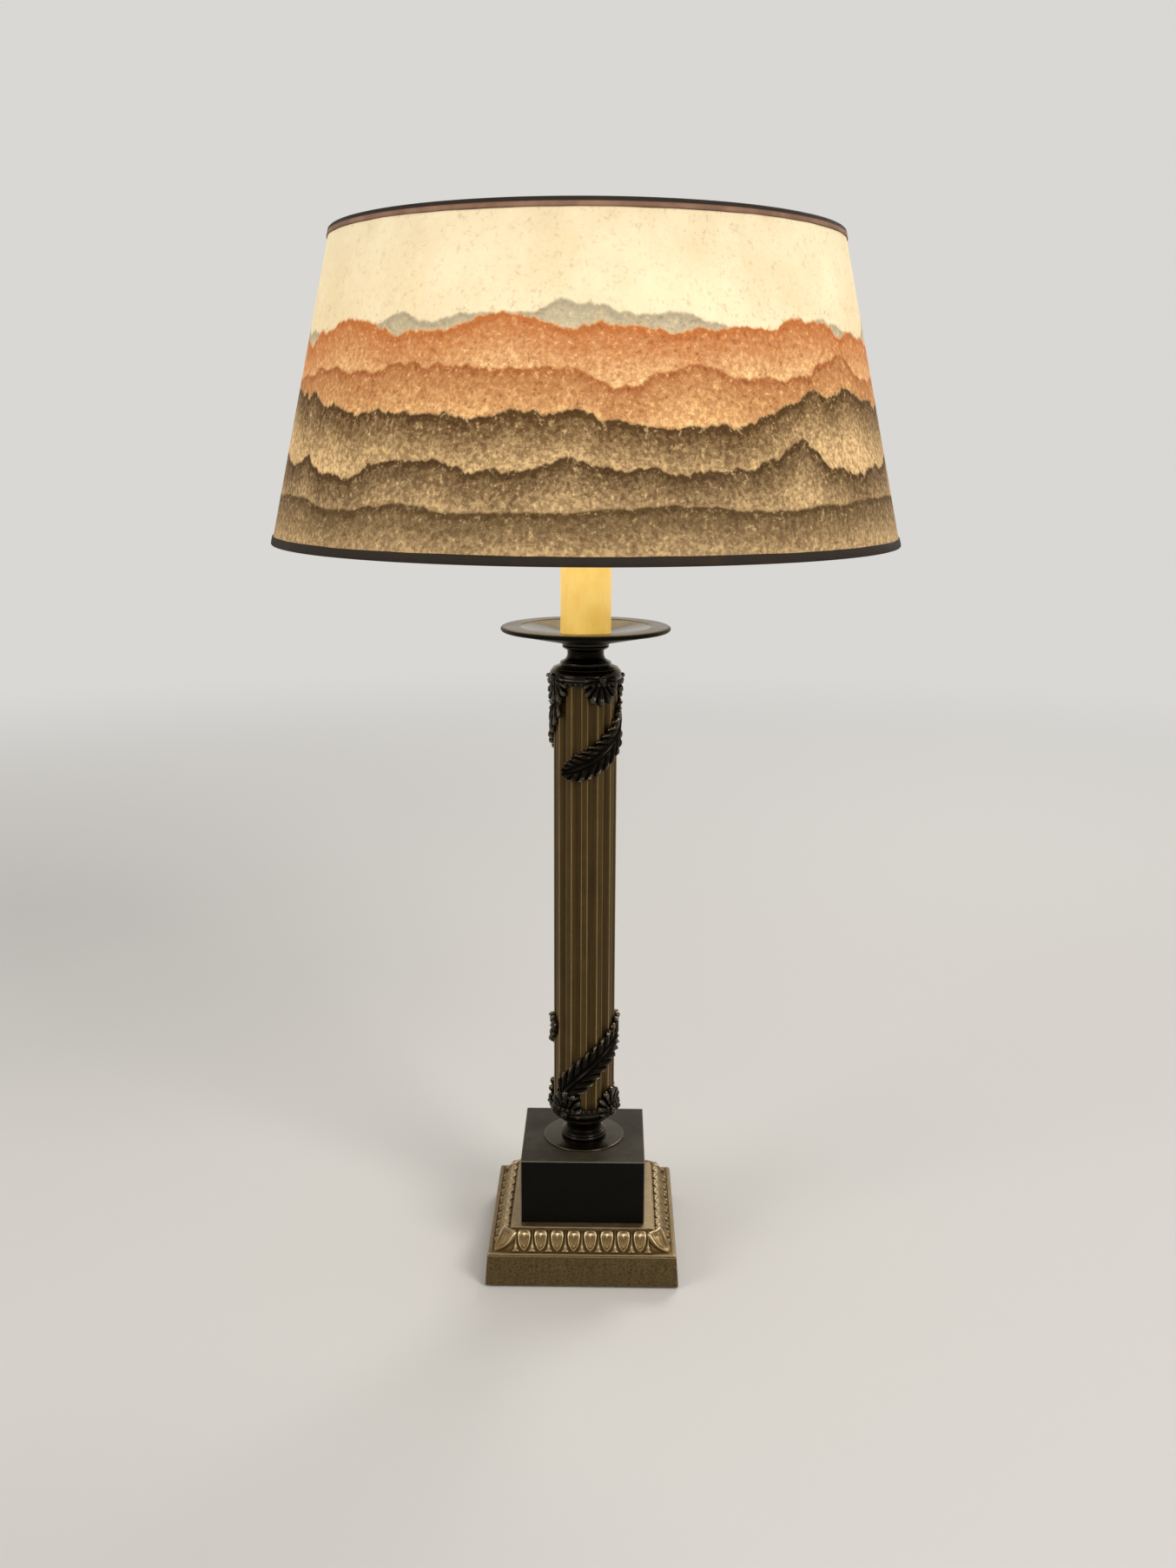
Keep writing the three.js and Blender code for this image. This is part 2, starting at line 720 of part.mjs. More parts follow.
function columnAssembly() {
  const mountShape = leafMount();
  const lowerCollar = piece('lower_collar', collar(), finishes.blackBronze);
  const lowerMount = piece('lower_leaf_mount', mountShape, finishes.blackBronze);
  lowerMount.position.z = mountFoot;
  const shaft = piece('column_shaft', columnShaft(), finishes.darkGilt);
  shaft.position.z = shaftFoot;
  const flipAxis = around(mountFlipAzimuth, 1);
  const upperMount = piece('upper_leaf_mount', mountShape.clone(), finishes.blackBronze);
  upperMount.quaternion.setFromAxisAngle(flipAxis, Math.PI);
  upperMount.position.z = columnHeight - mountFoot;
  const upperCollar = piece('upper_collar', collar(), finishes.blackBronze);
  upperCollar.quaternion.setFromAxisAngle(flipAxis, Math.PI);
  upperCollar.position.z = columnHeight;
  return assembly(columnFoot, [lowerCollar, lowerMount, shaft, upperMount, upperCollar]);
}

function dripPan() {
  const rim = panDiameter / 2;
  const foot = panFootDiameter / 2;
  const well = rim - panRimWidth;
  const seat = sleeveDiameter / 2 + panSeatMargin;
  const rimFoot = panHeight - panRimThickness;
  const profile = drawn((path) => {
    path.moveTo(pipeHole, 0);
    path.lineTo(foot, 0);
    path.lineTo(rim - panRimThickness, rimFoot);
    bead(path, panRimThickness, panHeight);
    path.lineTo(well, panHeight - panRimDip);
    path.lineTo(well - panWellSlope, panHeight - panWellDrop);
    path.lineTo(seat, panFloor);
    path.lineTo(pipeHole, panFloor);
  }, rimSteps);
  return revolve(profile, panSides);
}

function sleeveCap() {
  const inside = sleeveDiameter / 2 - sleeveWall - fitGap;
  const profile = [
    [pipeHole, 0],
    [inside - capSpigotWall, 0],
    [inside - capSpigotWall, -capSpigot],
    [inside, -capSpigot],
    [inside, 0],
    [sleeveDiameter / 2, 0],
    [sleeveDiameter / 2, capThickness],
    [pipeHole, capThickness],
  ];
  return revolve(profile, roundSides);
}

function candleAssembly() {
  const radius = sleeveDiameter / 2;
  const pan = piece('bobeche', dripPan(), finishes.blackBronze);
  const sleeveShape = tube(radius, radius - sleeveWall, sleeveLength, roundSides);
  const sleeve = piece('candle_sleeve', sleeveShape, finishes.cream);
  sleeve.position.z = sleeveFoot - candleFoot;
  const cap = piece('sleeve_cap', sleeveCap(), finishes.brass);
  cap.position.z = capFoot - candleFoot;
  return assembly(candleFoot, [pan, sleeve, cap]);
}

function centerPipe() {
  const foot = plinthFoot + plinthHeight - plinthDeck - 2 * seatGap - washerThickness - nutHeight - pipeStub;
  const top = lightFoot + saddleThickness + seatGap + pipeEntry;
  return tube(pipeDiameter / 2, pipeBore / 2, top - foot, smallSides, foot);
}

// A U of flat strip whose arms narrow to posts, bent with a small inside radius.
function harpSaddle() {
  const outer = legHalf + saddleThickness / 2;
  const inner = legHalf - saddleThickness / 2;
  const bend = Math.min(saddleBend, saddleShoulder - saddleThickness);
  const side = new THREE.Shape();
  side.moveTo(-outer, saddleShoulder);
  side.lineTo(-outer, bend);
  side.quadraticCurveTo(-outer, 0, bend - outer, 0);
  side.lineTo(outer - bend, 0);
  side.quadraticCurveTo(outer, 0, outer, bend);
  side.lineTo(outer, saddleShoulder);
  side.lineTo(inner, saddleShoulder);
  side.lineTo(inner, bend);
  side.quadraticCurveTo(inner, saddleThickness, inner - bend + saddleThickness, saddleThickness);
  side.lineTo(bend - saddleThickness - inner, saddleThickness);
  side.quadraticCurveTo(-inner, saddleThickness, -inner, bend);
  side.lineTo(-inner, saddleShoulder);
  const extrusion = { depth: saddleWidth, bevelEnabled: false, curveSegments: curveSteps };
  const strip = new THREE.ExtrudeGeometry(side, extrusion);
  strip.rotateX(Math.PI / 2).translate(0, saddleWidth / 2, 0);
  const posts = [-legHalf, legHalf].map((x) => {
    const post = new THREE.BoxGeometry(saddleThickness, saddlePostWidth, saddlePostHeight + saddlePostRoot);
    return post.translate(x, 0, saddleShoulder + (saddlePostHeight - saddlePostRoot) / 2);
  });
  return pierced(joined(strip, posts), [pipeDrill(saddleThickness)]);
}

const legFoot = saddleShoulder + saddlePostHeight + seatGap;
const bossTop = harpHeight - studShoulderHeight - seatGap;
const bossFoot = bossTop - harpBossHeight;

function harpWireForm() {
  const crown = bossFoot + harpBossHeight / 2;
  const legTop = legFoot + harpLegStraight;
  const belly = harpWidth / 2;
  const leg = (side, height) => new THREE.Vector3(side * legHalf, 0, height);
  const flank = (side, height) => new THREE.Vector3(side * belly, 0, height);
  const top = new THREE.Vector3(0, 0, crown);
  const shoulder = (side) => new THREE.Vector3(side * belly * harpArchFullness, 0, crown);
  const rise = (harpBellyHeight - legTop) / 2;
  const arch = (crown - harpBellyHeight) / 2;
  const route = new THREE.CurvePath();
  const flare = (side) => [
    leg(side, legTop),
    leg(side, legTop + rise),
    flank(side, harpBellyHeight - rise),
    flank(side, harpBellyHeight),
  ];
  const vault = (side) => [
    flank(side, harpBellyHeight),
    flank(side, harpBellyHeight + arch),
    shoulder(side),
    top,
  ];
  route.add(new THREE.LineCurve3(leg(-1, legFoot), leg(-1, legTop)));
  route.add(new THREE.CubicBezierCurve3(...flare(-1)));
  route.add(new THREE.CubicBezierCurve3(...vault(-1)));
  route.add(new THREE.CubicBezierCurve3(...vault(1).reverse()));
  route.add(new THREE.CubicBezierCurve3(...flare(1).reverse()));
  route.add(new THREE.LineCurve3(leg(1, legTop), leg(1, legFoot)));
  const boss = rod(harpBossDiameter / 2, harpBossHeight, smallSides, bossFoot);
  const whole = joined(wire(route, harpWire, harpSteps), [boss]);
  const holeLength = harpBossHeight + 2 * drillPass;
  const shankHole = rod(studShankDiameter / 2 + fitGap, holeLength, smallSides, bossFoot - drillPass);
  return pierced(whole, [shankHole]);
}

function harpStud() {
  const shank = studShankDiameter / 2;
  const head = studHeadDiameter / 2;
  const shoulder = studShoulderDiameter / 2;
  const thread = studThread / 2;
  const headTop = bossFoot - seatGap;
  const shoulderFoot = bossTop + seatGap;
  const threadTop = harpHeight + studThreadLength;
  return revolve([
    [0, headTop - studHeadHeight],
    [head, headTop - studHeadHeight],
    [head, headTop],
    [shank, headTop],
    [shank, shoulderFoot],
    [shoulder, shoulderFoot],
    [shoulder, harpHeight],
    [thread, harpHeight],
    [thread, threadTop - studChamfer],
    [thread - studChamfer, threadTop],
    [0, threadTop],
  ], smallSides);
}

const capSeat = saddleThickness + seatGap;
const shellFoot = capSeat + socketCapHeight + seatGap;
const bodyFoot = shellFoot - bodyDrop;
const bodyTop = bodyFoot + bodyHeight;
const switchHeight = shellFoot + switchRise;

function socketCap() {
  const hub = socketHubDiameter / 2;
  const inner = socketRadius - socketWall;
  const floor = socketHubHeight + socketWall;
  const profile = drawn((path) => {
    path.moveTo(pipeHole, 0);
    path.lineTo(hub, 0);
    path.lineTo(hub, socketHubHeight);
    path.quadraticCurveTo(socketRadius, socketHubHeight, socketRadius, socketCapHeight);
    path.lineTo(inner, socketCapHeight);
    path.quadraticCurveTo(inner, floor, hub - socketWall, floor);
    path.lineTo(pipeHole, floor);
  });
  return revolve(profile, smallSides);
}

// A hole in the front of the socket for the switch shaft.
function switchDrill(radius) {
  return rod(radius, socketDiameter, smallSides).rotateX(Math.PI / 2).translate(0, 0, switchHeight);
}

function socketShell() {
  const blank = tube(socketRadius, socketRadius - socketWall, socketShellHeight, smallSides, shellFoot);
  return pierced(blank, [switchDrill(switchHole / 2)]);
}

function socketLiner() {
  const height = socketShellHeight - 2 * linerInset;
  const blank = tube(linerRadius, linerRadius - linerWall, height, smallSides, shellFoot + linerInset);
  return pierced(blank, [switchDrill(switchHole / 2)]);
}

function socketBody() {
  const blank = rod(bodyRadius, bodyHeight, smallSides, bodyFoot);
  return pierced(blank, [switchDrill(switchShaftDiameter / 2 + fitGap)]);
}

function switchShaft() {
  const reach = socketRadius + knobStandoff + knobShaftReach - switchShaftDepth;
  return rod(switchShaftDiameter / 2, reach, smallSides).rotateX(Math.PI / 2);
}

// A turn key: a round neck that swells into a flat-sided paddle.
function switchKnob() {
  const neck = knobNeckDiameter / 2;
  const grip = knobDiameter / 2;
  const hole = switchShaftDiameter / 2 + fitGap;
  const profile = drawn((path) => {
    path.moveTo(0, knobShaftReach + fitGap);
    path.lineTo(hole, knobShaftReach + fitGap);
    path.lineTo(hole, 0);
    path.lineTo(neck, 0);
    path.bezierCurveTo(neck, knobLength / 3, grip, knobLength / 3, grip, (2 * knobLength) / 3);
    path.quadraticCurveTo(grip, knobLength, grip / 2, knobLength);
    path.lineTo(0, knobLength);
  });
  const turned = solidOf(revolve(profile, smallSides));
  const flats = new THREE.BoxGeometry(knobFlat, 2 * knobDiameter, 2 * knobLength);
  return geometryOf(turned.intersect(solidOf(flats))).rotateX(Math.PI / 2);
}

function bulbBase() {
  const contact = bulbContactDiameter / 2;
  const neckHole = bulbNeckDiameter / 2 + fitGap;
  const rimTop = bulbBaseHeight;
  const recess = rimTop - bulbNeckDepth;
  return revolve([
    [0, 0],
    [contact, 0],
    [contact + bulbEdge, bulbContactHeight],
    [bulbBaseRadius - bulbEdge, bulbInsulatorHeight],
    [bulbBaseRadius, bulbThreadFoot],
    [bulbBaseRadius, rimTop - bulbBaseCrimp],
    [neckHole + bulbBaseRim, rimTop],
    [neckHole, rimTop],
    [neckHole, recess],
    [0, recess],
  ], smallSides);
}

// One skin of the glass from the neck to the crown, set in from the outside by an inset.
function glassSkin(inset) {
  const neck = bulbNeckDiameter / 2 - inset;
  const cheek = bulbDiameter / 2 - inset;
  const crown = bulbLength - inset;
  const middle = bulbLength - bulbDiameter / 2;
  const flare = bulbBaseHeight + bulbFlareRise;
  const handle = circleHandle * cheek;
  return drawn((path) => {
    path.moveTo(neck, bulbBaseHeight - bulbNeckDepth + seatGap);
    path.lineTo(neck, flare);
    path.bezierCurveTo(neck, flare + bulbNeckHandle, cheek, middle - bulbCheekHandle, cheek, middle);
    path.bezierCurveTo(cheek, middle + handle, handle, crown, 0, crown);
  });
}

// The glass envelope, a shell open at its neck.
function bulbGlass() {
  return revolve([...glassSkin(bulbWall).reverse(), ...glassSkin(0)], smallSides);
}

function lightAssembly() {
  const bulbFoot = bodyTop + 2 * seatGap;
  const saddle = piece('harp_saddle', harpSaddle(), finishes.brass);
  const harp = piece('harp_wire', harpWireForm(), finishes.brass);
  const stud = piece('harp_stud', harpStud(), finishes.brass);
  const ferrules = [['left_ferrule', -1], ['right_ferrule', 1]].map(([name, side]) => {
    const bore = harpWire / 2 + fitGap;
    const ferrule = piece(name, tube(bore + ferruleWall, bore, ferruleHeight, smallSides), finishes.brass);
    ferrule.position.set(side * legHalf, 0, saddleShoulder + seatGap);
    return ferrule;
  });
  const cap = piece('socket_cap', socketCap(), finishes.brass);
  cap.position.z = capSeat;
  const shell = piece('socket_shell', socketShell(), finishes.brass);
  const liner = piece('socket_liner', socketLiner(), finishes.fibre);
  const body = piece('socket_body', socketBody(), finishes.phenolic);
  const screwBore = bodyRadius - screwShellWall;
  const screwShape = tube(bodyRadius, screwBore, screwShellHeight, smallSides, bodyTop + seatGap);
  const screw = piece('screw_shell', screwShape, finishes.brass);
  const shaft = piece('switch_shaft', switchShaft(), finishes.steel);
  shaft.position.set(0, -switchShaftDepth, switchHeight);
  const knob = piece('switch_knob', switchKnob(), finishes.phenolic);
  knob.position.set(0, -socketRadius - knobStandoff, switchHeight);
  const bulbMetal = piece('bulb_base', bulbBase(), finishes.steel);
  bulbMetal.position.z = bulbFoot;
  const glass = piece('bulb_glass', bulbGlass(), finishes.frostedGlass);
  glass.position.z = bulbFoot;
  const harpParts = [saddle, harp, stud, ...ferrules];
  const socketParts = [cap, shell, liner, body, screw, shaft, knob];
  return assembly(lightFoot, [...harpParts, ...socketParts, bulbMetal, glass]);
}

// Outer radius of the shade's paper at a height above the shade's bottom edge.
function paperRadius(height) {
  const share = height / shadeHeight;
  return THREE.MathUtils.lerp(shadeBottomDiameter, shadeTopDiameter, share) / 2 - trimThickness - fitGap;
}

const paperInset = trimThickness + fitGap;

function shadePanel() {
  const foot = paperInset;
  const top = shadeHeight - paperInset;
  return revolve([
    [paperRadius(foot) - panelThickness, foot],
    [paperRadius(foot), foot],
    [paperRadius(top), top],
    [paperRadius(top) - panelThickness, top],
  ], shadeSides);
}

// A folded tape over an edge of the paper: a long leg outside, a short return inside.
function shadeTrim(edge, inward) {
  const outside = (height) => paperRadius(height) + paperInset;
  const outerInside = (height) => paperRadius(height) + fitGap;
  const returnOutside = (height) => paperRadius(height) - panelThickness - fitGap;
  const returnInside = (height) => returnOutside(height) - trimThickness;
  const web = edge + inward * trimThickness;
  const legEnd = edge + inward * trimHeight;
  const returnEnd = edge + inward * (trimThickness + trimReturn);
  return revolve([
    [outside(edge), edge],
    [outside(legEnd), legEnd],
    [outerInside(legEnd), legEnd],
    [outerInside(web), web],
    [returnOutside(web), web],
    [returnOutside(returnEnd), returnEnd],
    [returnInside(returnEnd), returnEnd],
    [returnInside(edge), edge],
  ], shadeSides);
}

// The wire hoops lie inside the paper, just past the returns of the trims.
const hoopInset = trimThickness + trimReturn + fitGap + ringWire / 2;
const hoopRadius = (height) => paperRadius(height) - panelThickness - fitGap - ringWire / 2;

function shadeHoop(height) {
  const section = Array.from({ length: wireSides }, (_, k) => {
    const angle = (2 * Math.PI * k) / wireSides;
    return [hoopRadius(height) + (ringWire / 2) * Math.cos(angle), height + (ringWire / 2) * Math.sin(angle)];
  });
  return revolve(section, shadeSides);
}

// Washer and arms: each arm leaves the washer level, under its top face, then bends up to the top hoop.
function shadeSpider() {
  const washerFoot = spiderFoot - shadeFoot;
  const level = washerFoot + spiderWasherThickness - spiderWire / 2 - spiderArmSink;
  const hoopHeight = shadeHeight - hoopInset;
  const end = (hoopRadius(hoopHeight) - ringWire / 2) * Math.cos(Math.PI / shadeSides) - fitGap;
  const holeRadius = studThread / 2 + fitGap;
  const washer = tube(spiderWasherDiameter / 2, holeRadius, spiderWasherThickness, smallSides, washerFoot);
  const arms = Array.from({ length: spiderArms }, (_, k) => {
    const azimuth = spiderFirstAzimuth + (360 * k) / spiderArms;
    const route = new THREE.CatmullRomCurve3([
      around(azimuth, spiderWasherDiameter / 2 - spiderWire / 2, level),
      around(azimuth, end - spiderRise - spiderTail, level),
      around(azimuth, end - spiderTail, hoopHeight),
      around(azimuth, end, hoopHeight),
    ], false, 'catmullrom', spiderTension);
    return wire(route, spiderWire, spiderSteps);
  });
  return joined(washer, arms);
}

function shadeAssembly() {
  const panel = piece('shade_panel', shadePanel(), finishes.paper);
  const topTrim = piece('shade_top_trim', shadeTrim(shadeHeight, -1), finishes.trim);
  const bottomTrim = piece('shade_bottom_trim', shadeTrim(0, 1), finishes.trim);
  const topHoop = piece('shade_top_ring', shadeHoop(shadeHeight - hoopInset), finishes.brass);
  const bottomHoop = piece('shade_bottom_ring', shadeHoop(hoopInset), finishes.brass);
  const spider = piece('shade_spider', shadeSpider(), finishes.brass);
  return assembly(shadeFoot, [panel, topTrim, bottomTrim, topHoop, bottomHoop, spider]);
}

// A turned knob on a threaded foot, drilled for the harp's stud.
function finial() {
  const foot = finialFootDiameter / 2;
  const knob = finialDiameter / 2;
  const waist = finialWaistDiameter / 2;
  const swell = finialSwell * knob;
  const ball = finialHeight - knob;
  const hole = studThread / 2 + fitGap;
  const holeDepth = lightFoot + harpHeight + studThreadLength + finialThreadRoom - finialFoot;
  const profile = drawn((path) => {
    path.moveTo(0, holeDepth);
    path.lineTo(hole, holeDepth);
    path.lineTo(hole, 0);
    path.lineTo(foot, 0);
    path.lineTo(foot, finialFootHeight);
    path.quadraticCurveTo(waist, 2 * finialFootHeight, waist, ball - knob);
    path.bezierCurveTo(swell, ball - knob, swell, finialHeight, 0, finialHeight);
  });
  return revolve(profile, smallSides);
}

const lamp = new THREE.Group();
lamp.name = 'column_lamp';
const finialKnob = piece('finial', finial(), finishes.brass);
finialKnob.position.z = finialFoot;
lamp.add(baseAssembly());
lamp.add(columnAssembly());
lamp.add(candleAssembly());
lamp.add(piece('center_pipe', centerPipe(), finishes.steel));
lamp.add(lightAssembly());
lamp.add(shadeAssembly());
lamp.add(finialKnob);

export default lamp;
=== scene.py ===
import math

import bmesh
import bpy
import numpy as np
from mathutils import Matrix, Vector


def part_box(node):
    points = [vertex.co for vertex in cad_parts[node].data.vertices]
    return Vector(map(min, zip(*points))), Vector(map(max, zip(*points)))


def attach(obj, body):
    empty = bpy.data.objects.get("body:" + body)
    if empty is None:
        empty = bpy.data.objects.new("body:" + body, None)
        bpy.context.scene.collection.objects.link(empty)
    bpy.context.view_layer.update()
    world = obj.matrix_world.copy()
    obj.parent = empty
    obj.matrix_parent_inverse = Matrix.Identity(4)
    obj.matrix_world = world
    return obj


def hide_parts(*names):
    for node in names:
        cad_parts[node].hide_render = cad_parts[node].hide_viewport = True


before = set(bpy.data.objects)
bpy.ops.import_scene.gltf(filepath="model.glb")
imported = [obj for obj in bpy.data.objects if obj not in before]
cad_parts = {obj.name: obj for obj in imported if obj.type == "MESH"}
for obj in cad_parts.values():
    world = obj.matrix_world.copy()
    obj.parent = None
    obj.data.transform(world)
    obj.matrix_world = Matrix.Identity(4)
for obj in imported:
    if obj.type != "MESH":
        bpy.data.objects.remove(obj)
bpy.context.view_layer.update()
scene = bpy.context.scene
scene.view_settings.view_transform = "Standard"
mm = 0.001  # shapes are drawn in millimetres


# Camera at the photograph's viewing angle, fitted to the base, the pan and the shade
cameraFit = {
    "focalPixels": 1734.69,
    "imageHeight": 1806,
    "sensor": 36,
    "farClip": 200,
    "distance": 1125.96,
    "height": 645.53,
    "sideways": -2.52,
    "pitch": 0.22769,
    "yaw": 0.00419,
    "roll": 0.00424,
    "orbit": -0.01969,
}


def makeCamera(fit):
    pitch, yaw, roll = fit["pitch"], fit["yaw"], fit["roll"]
    ahead = Vector((math.sin(yaw), math.cos(yaw), 0))
    right = Vector((math.cos(yaw), -math.sin(yaw), 0))
    forward = math.cos(pitch) * ahead - math.sin(pitch) * Vector((0, 0, 1))
    up = math.sin(pitch) * ahead + math.cos(pitch) * Vector((0, 0, 1))
    rolledRight = math.cos(roll) * right + math.sin(roll) * up
    rolledUp = math.cos(roll) * up - math.sin(roll) * right
    stance = Matrix((rolledRight, rolledUp, -forward)).transposed().to_4x4()
    stance.translation = Vector((fit["sideways"], -fit["distance"], fit["height"])) * mm
    data = bpy.data.cameras.new("photoCamera")
    data.sensor_width = fit["sensor"]
    data.lens = fit["focalPixels"] * fit["sensor"] / fit["imageHeight"]
    data.clip_end = fit["farClip"]
    camera = bpy.data.objects.new("photoCamera", data)
    camera.matrix_world = Matrix.Rotation(-fit["orbit"], 4, "Z") @ stance
    scene.collection.objects.link(camera)
    scene.camera = camera


makeCamera(cameraFit)
print("camera placed")


# Node helpers, for materials and for Geometry Nodes
def feed(tree, socket, value):
    if isinstance(value, bpy.types.NodeSocket):
        tree.links.new(value, socket)
    else:
        socket.default_value = value


def put(tree, kind, inputs=None, **settings):
    node = tree.nodes.new(kind)
    for key, value in settings.items():
        setattr(node, key, value)
    dress(tree, node, inputs or {})
    return node


def dress(tree, node, inputs):
    for key, value in inputs.items():
        feed(tree, node.inputs[key], value)


def sums(tree, operation, *values, clamp=False):
    node = put(tree, "ShaderNodeMath", dict(enumerate(values)), operation=operation, use_clamp=clamp)
    return node.outputs[0]


def plus(tree, first, second, clamp=False):
    return sums(tree, "ADD", first, second, clamp=clamp)


def minus(tree, first, second, clamp=False):
    return sums(tree, "SUBTRACT", first, second, clamp=clamp)


def times(tree, first, second):
    return sums(tree, "MULTIPLY", first, second)


def ramp(tree, value, start, end, low=0.0, high=1.0):
    limits = {"Value": value, "From Min": start, "From Max": end, "To Min": low, "To Max": high}
    return put(tree, "ShaderNodeMapRange", limits, interpolation_type="SMOOTHSTEP").outputs[0]


def mixed(tree, share, first, second, blend="MIX"):
    colors = {0: share, 6: first, 7: second}  # the colour sockets of the Mix node
    return put(tree, "ShaderNodeMix", colors, data_type="RGBA", blend_type=blend).outputs[2]


def noise(tree, vector, scale, detail=3.0, roughness=0.5):
    inputs = {"Vector": vector, "Scale": scale, "Detail": detail, "Roughness": roughness}
    return put(tree, "ShaderNodeTexNoise", inputs).outputs["Fac"]


def combined(tree, x=0.0, y=0.0, z=0.0):
    return put(tree, "ShaderNodeCombineXYZ", {"X": x, "Y": y, "Z": z}).outputs[0]


def parted(tree, vector):
    return put(tree, "ShaderNodeSeparateXYZ", {"Vector": vector}).outputs


def vectors(tree, operation, first, second):
    return put(tree, "ShaderNodeVectorMath", {0: first, 1: second}, operation=operation).outputs[0]


def stretched(tree, vector, scale):
    return put(tree, "ShaderNodeMapping", {"Vector": vector, "Scale": scale}).outputs["Vector"]


def objectSpot(tree):
    return put(tree, "ShaderNodeTexCoord").outputs["Object"]


# A node group with named sockets, each (label, kind) or (label, kind, value)
def newGroup(name, inputs, outputs, kind="ShaderNodeTree"):
    tree = bpy.data.node_groups.new(name, kind)
    for way, sockets in (("INPUT", inputs), ("OUTPUT", outputs)):
        for label, socketKind, *value in sockets:
            socket = tree.interface.new_socket(name=label, in_out=way, socket_type="NodeSocket" + socketKind)
            if value:
                socket.default_value = value[0]
    return tree, tree.nodes.new("NodeGroupInput").outputs, tree.nodes.new("NodeGroupOutput")


def place(tree, group, inputs):
    node = put(tree, "ShaderNodeGroup", node_tree=group)
    dress(tree, node, inputs)
    return node.outputs


def newMaterial(name):
    material = bpy.data.materials.new(name)
    material.use_nodes = True
    tree = material.node_tree
    return material, tree, tree.nodes["Principled BSDF"]


def bump(tree, shader, height, strength, distance=0.0004):
    node = put(tree, "ShaderNodeBump", {"Height": height, "Strength": strength, "Distance": distance})
    tree.links.new(node.outputs["Normal"], shader.inputs["Normal"])


# Cast metal: dark in the hollows, rubbed bright on the high places that the relief attribute marks. On the
# leaf mounts, the moulding's leaves and the column's flutes, the bright marks are partly painted highlights
# and the dark ones partly painted shade
def makeCastFinish():
    tree, given, out = newGroup("castFinish", [
        ("Base Color", "Color", (0.2, 0.2, 0.2, 1)), ("Recess Color", "Color", (0.05, 0.05, 0.05, 1)),
        ("Worn Color", "Color", (0.6, 0.5, 0.4, 1)), ("Blotch Scale", "Float", 60.0),
        ("Grain Scale", "Float", 900.0), ("Wear", "Float", 0.6), ("Roughness", "Float", 0.4),
        ("Mottle", "Float", 0.25), ("Speckle", "Float", 1.0)],
        [("Color", "Color"), ("Roughness", "Float"), ("Height", "Float"), ("Polish", "Float")])
    spot = objectSpot(tree)
    relief = put(tree, "ShaderNodeAttribute", attribute_name="relief").outputs["Fac"]
    blotch = noise(tree, spot, given["Blotch Scale"], 6.0, 0.6)
    grain = noise(tree, spot, given["Grain Scale"], 3.0, 0.6)
    blotchStray = minus(tree, blotch, 0.5)
    grainStray = minus(tree, grain, 0.5)
    shifted = plus(tree, relief, times(tree, blotchStray, times(tree, given["Speckle"], 0.35)))
    specked = plus(tree, shifted, times(tree, grainStray, times(tree, given["Speckle"], 0.5)))
    # the recess colour is patina in the hollows and, in the column's flutes, painted shade; the worn colour
    # is rubbed metal and, on leaf crests, leaf heads and arrises, a painted highlight
    recess = ramp(tree, shifted, 0.42, 0.12)
    wornAndHighlit = times(tree, ramp(tree, specked, 0.62, 1.02), given["Wear"])
    clouded = noise(tree, spot, times(tree, given["Blotch Scale"], 2.4), 4.0, 0.7)
    cloudy = minus(tree, ramp(tree, clouded, 0.36, 0.64), 0.5)
    mottle = plus(tree, 1.0, times(tree, cloudy, given["Mottle"]))
    color = mixed(tree, 1.0, given["Base Color"], mottle, "MULTIPLY")
    color = mixed(tree, recess, color, given["Recess Color"])
    color = mixed(tree, wornAndHighlit, color, given["Worn Color"])
    rough = plus(tree, given["Roughness"], times(tree, blotchStray, 0.3))
    rough = plus(tree, rough, times(tree, recess, 0.18))
    rough = minus(tree, rough, times(tree, wornAndHighlit, 0.08), clamp=True)
    height = plus(tree, times(tree, grain, 0.5), times(tree, blotch, 0.5))
    polish = ramp(tree, shifted, 0.30, 0.75)
    dress(tree, out, {"Color": color, "Roughness": rough, "Height": height, "Polish": polish})
    return tree


# A film of dust on whatever faces up; on the drip pan it is also painted light falling from above
def makeDustAndSheenFilm():
    tree, given, out = newGroup("dustAndSheenFilm", [
        ("Color", "Color", (0.5, 0.5, 0.5, 1)), ("Dust Color", "Color", (0.335, 0.285, 0.185, 1)),
        ("Amount", "Float", 0.15)], [("Color", "Color")])
    normal = put(tree, "ShaderNodeNewGeometry").outputs["Normal"]
    upward = ramp(tree, parted(tree, normal)["Z"], 0.55, 0.98)
    spot = objectSpot(tree)
    cloud = ramp(tree, noise(tree, spot, 45.0, 5.0, 0.65), 0.32, 0.7, 0.58, 1.0)
    speck = ramp(tree, noise(tree, spot, 1400.0, 2.0, 0.6), 0.4, 0.75, 0.6, 1.0)
    film = times(tree, times(tree, upward, cloud), times(tree, speck, given["Amount"]))
    dress(tree, out, {"Color": mixed(tree, film, given["Color"], given["Dust Color"])})
    return tree


# Fine streaks that run along Z, as drawn or brushed metal has
def makeLongStreaks():
    tree, given, out = newGroup("longStreaks", [("Across", "Float", 700.0), ("Along", "Float", 12.0)],
                                [("Mask", "Float")])
    scale = combined(tree, given["Across"], given["Across"], given["Along"])
    streaked = vectors(tree, "MULTIPLY", objectSpot(tree), scale)
    dress(tree, out, {"Mask": noise(tree, streaked, 1.0, 3.0, 0.55)})
    return tree


castFinish = makeCastFinish()
dustAndSheenFilm = makeDustAndSheenFilm()
longStreaks = makeLongStreaks()


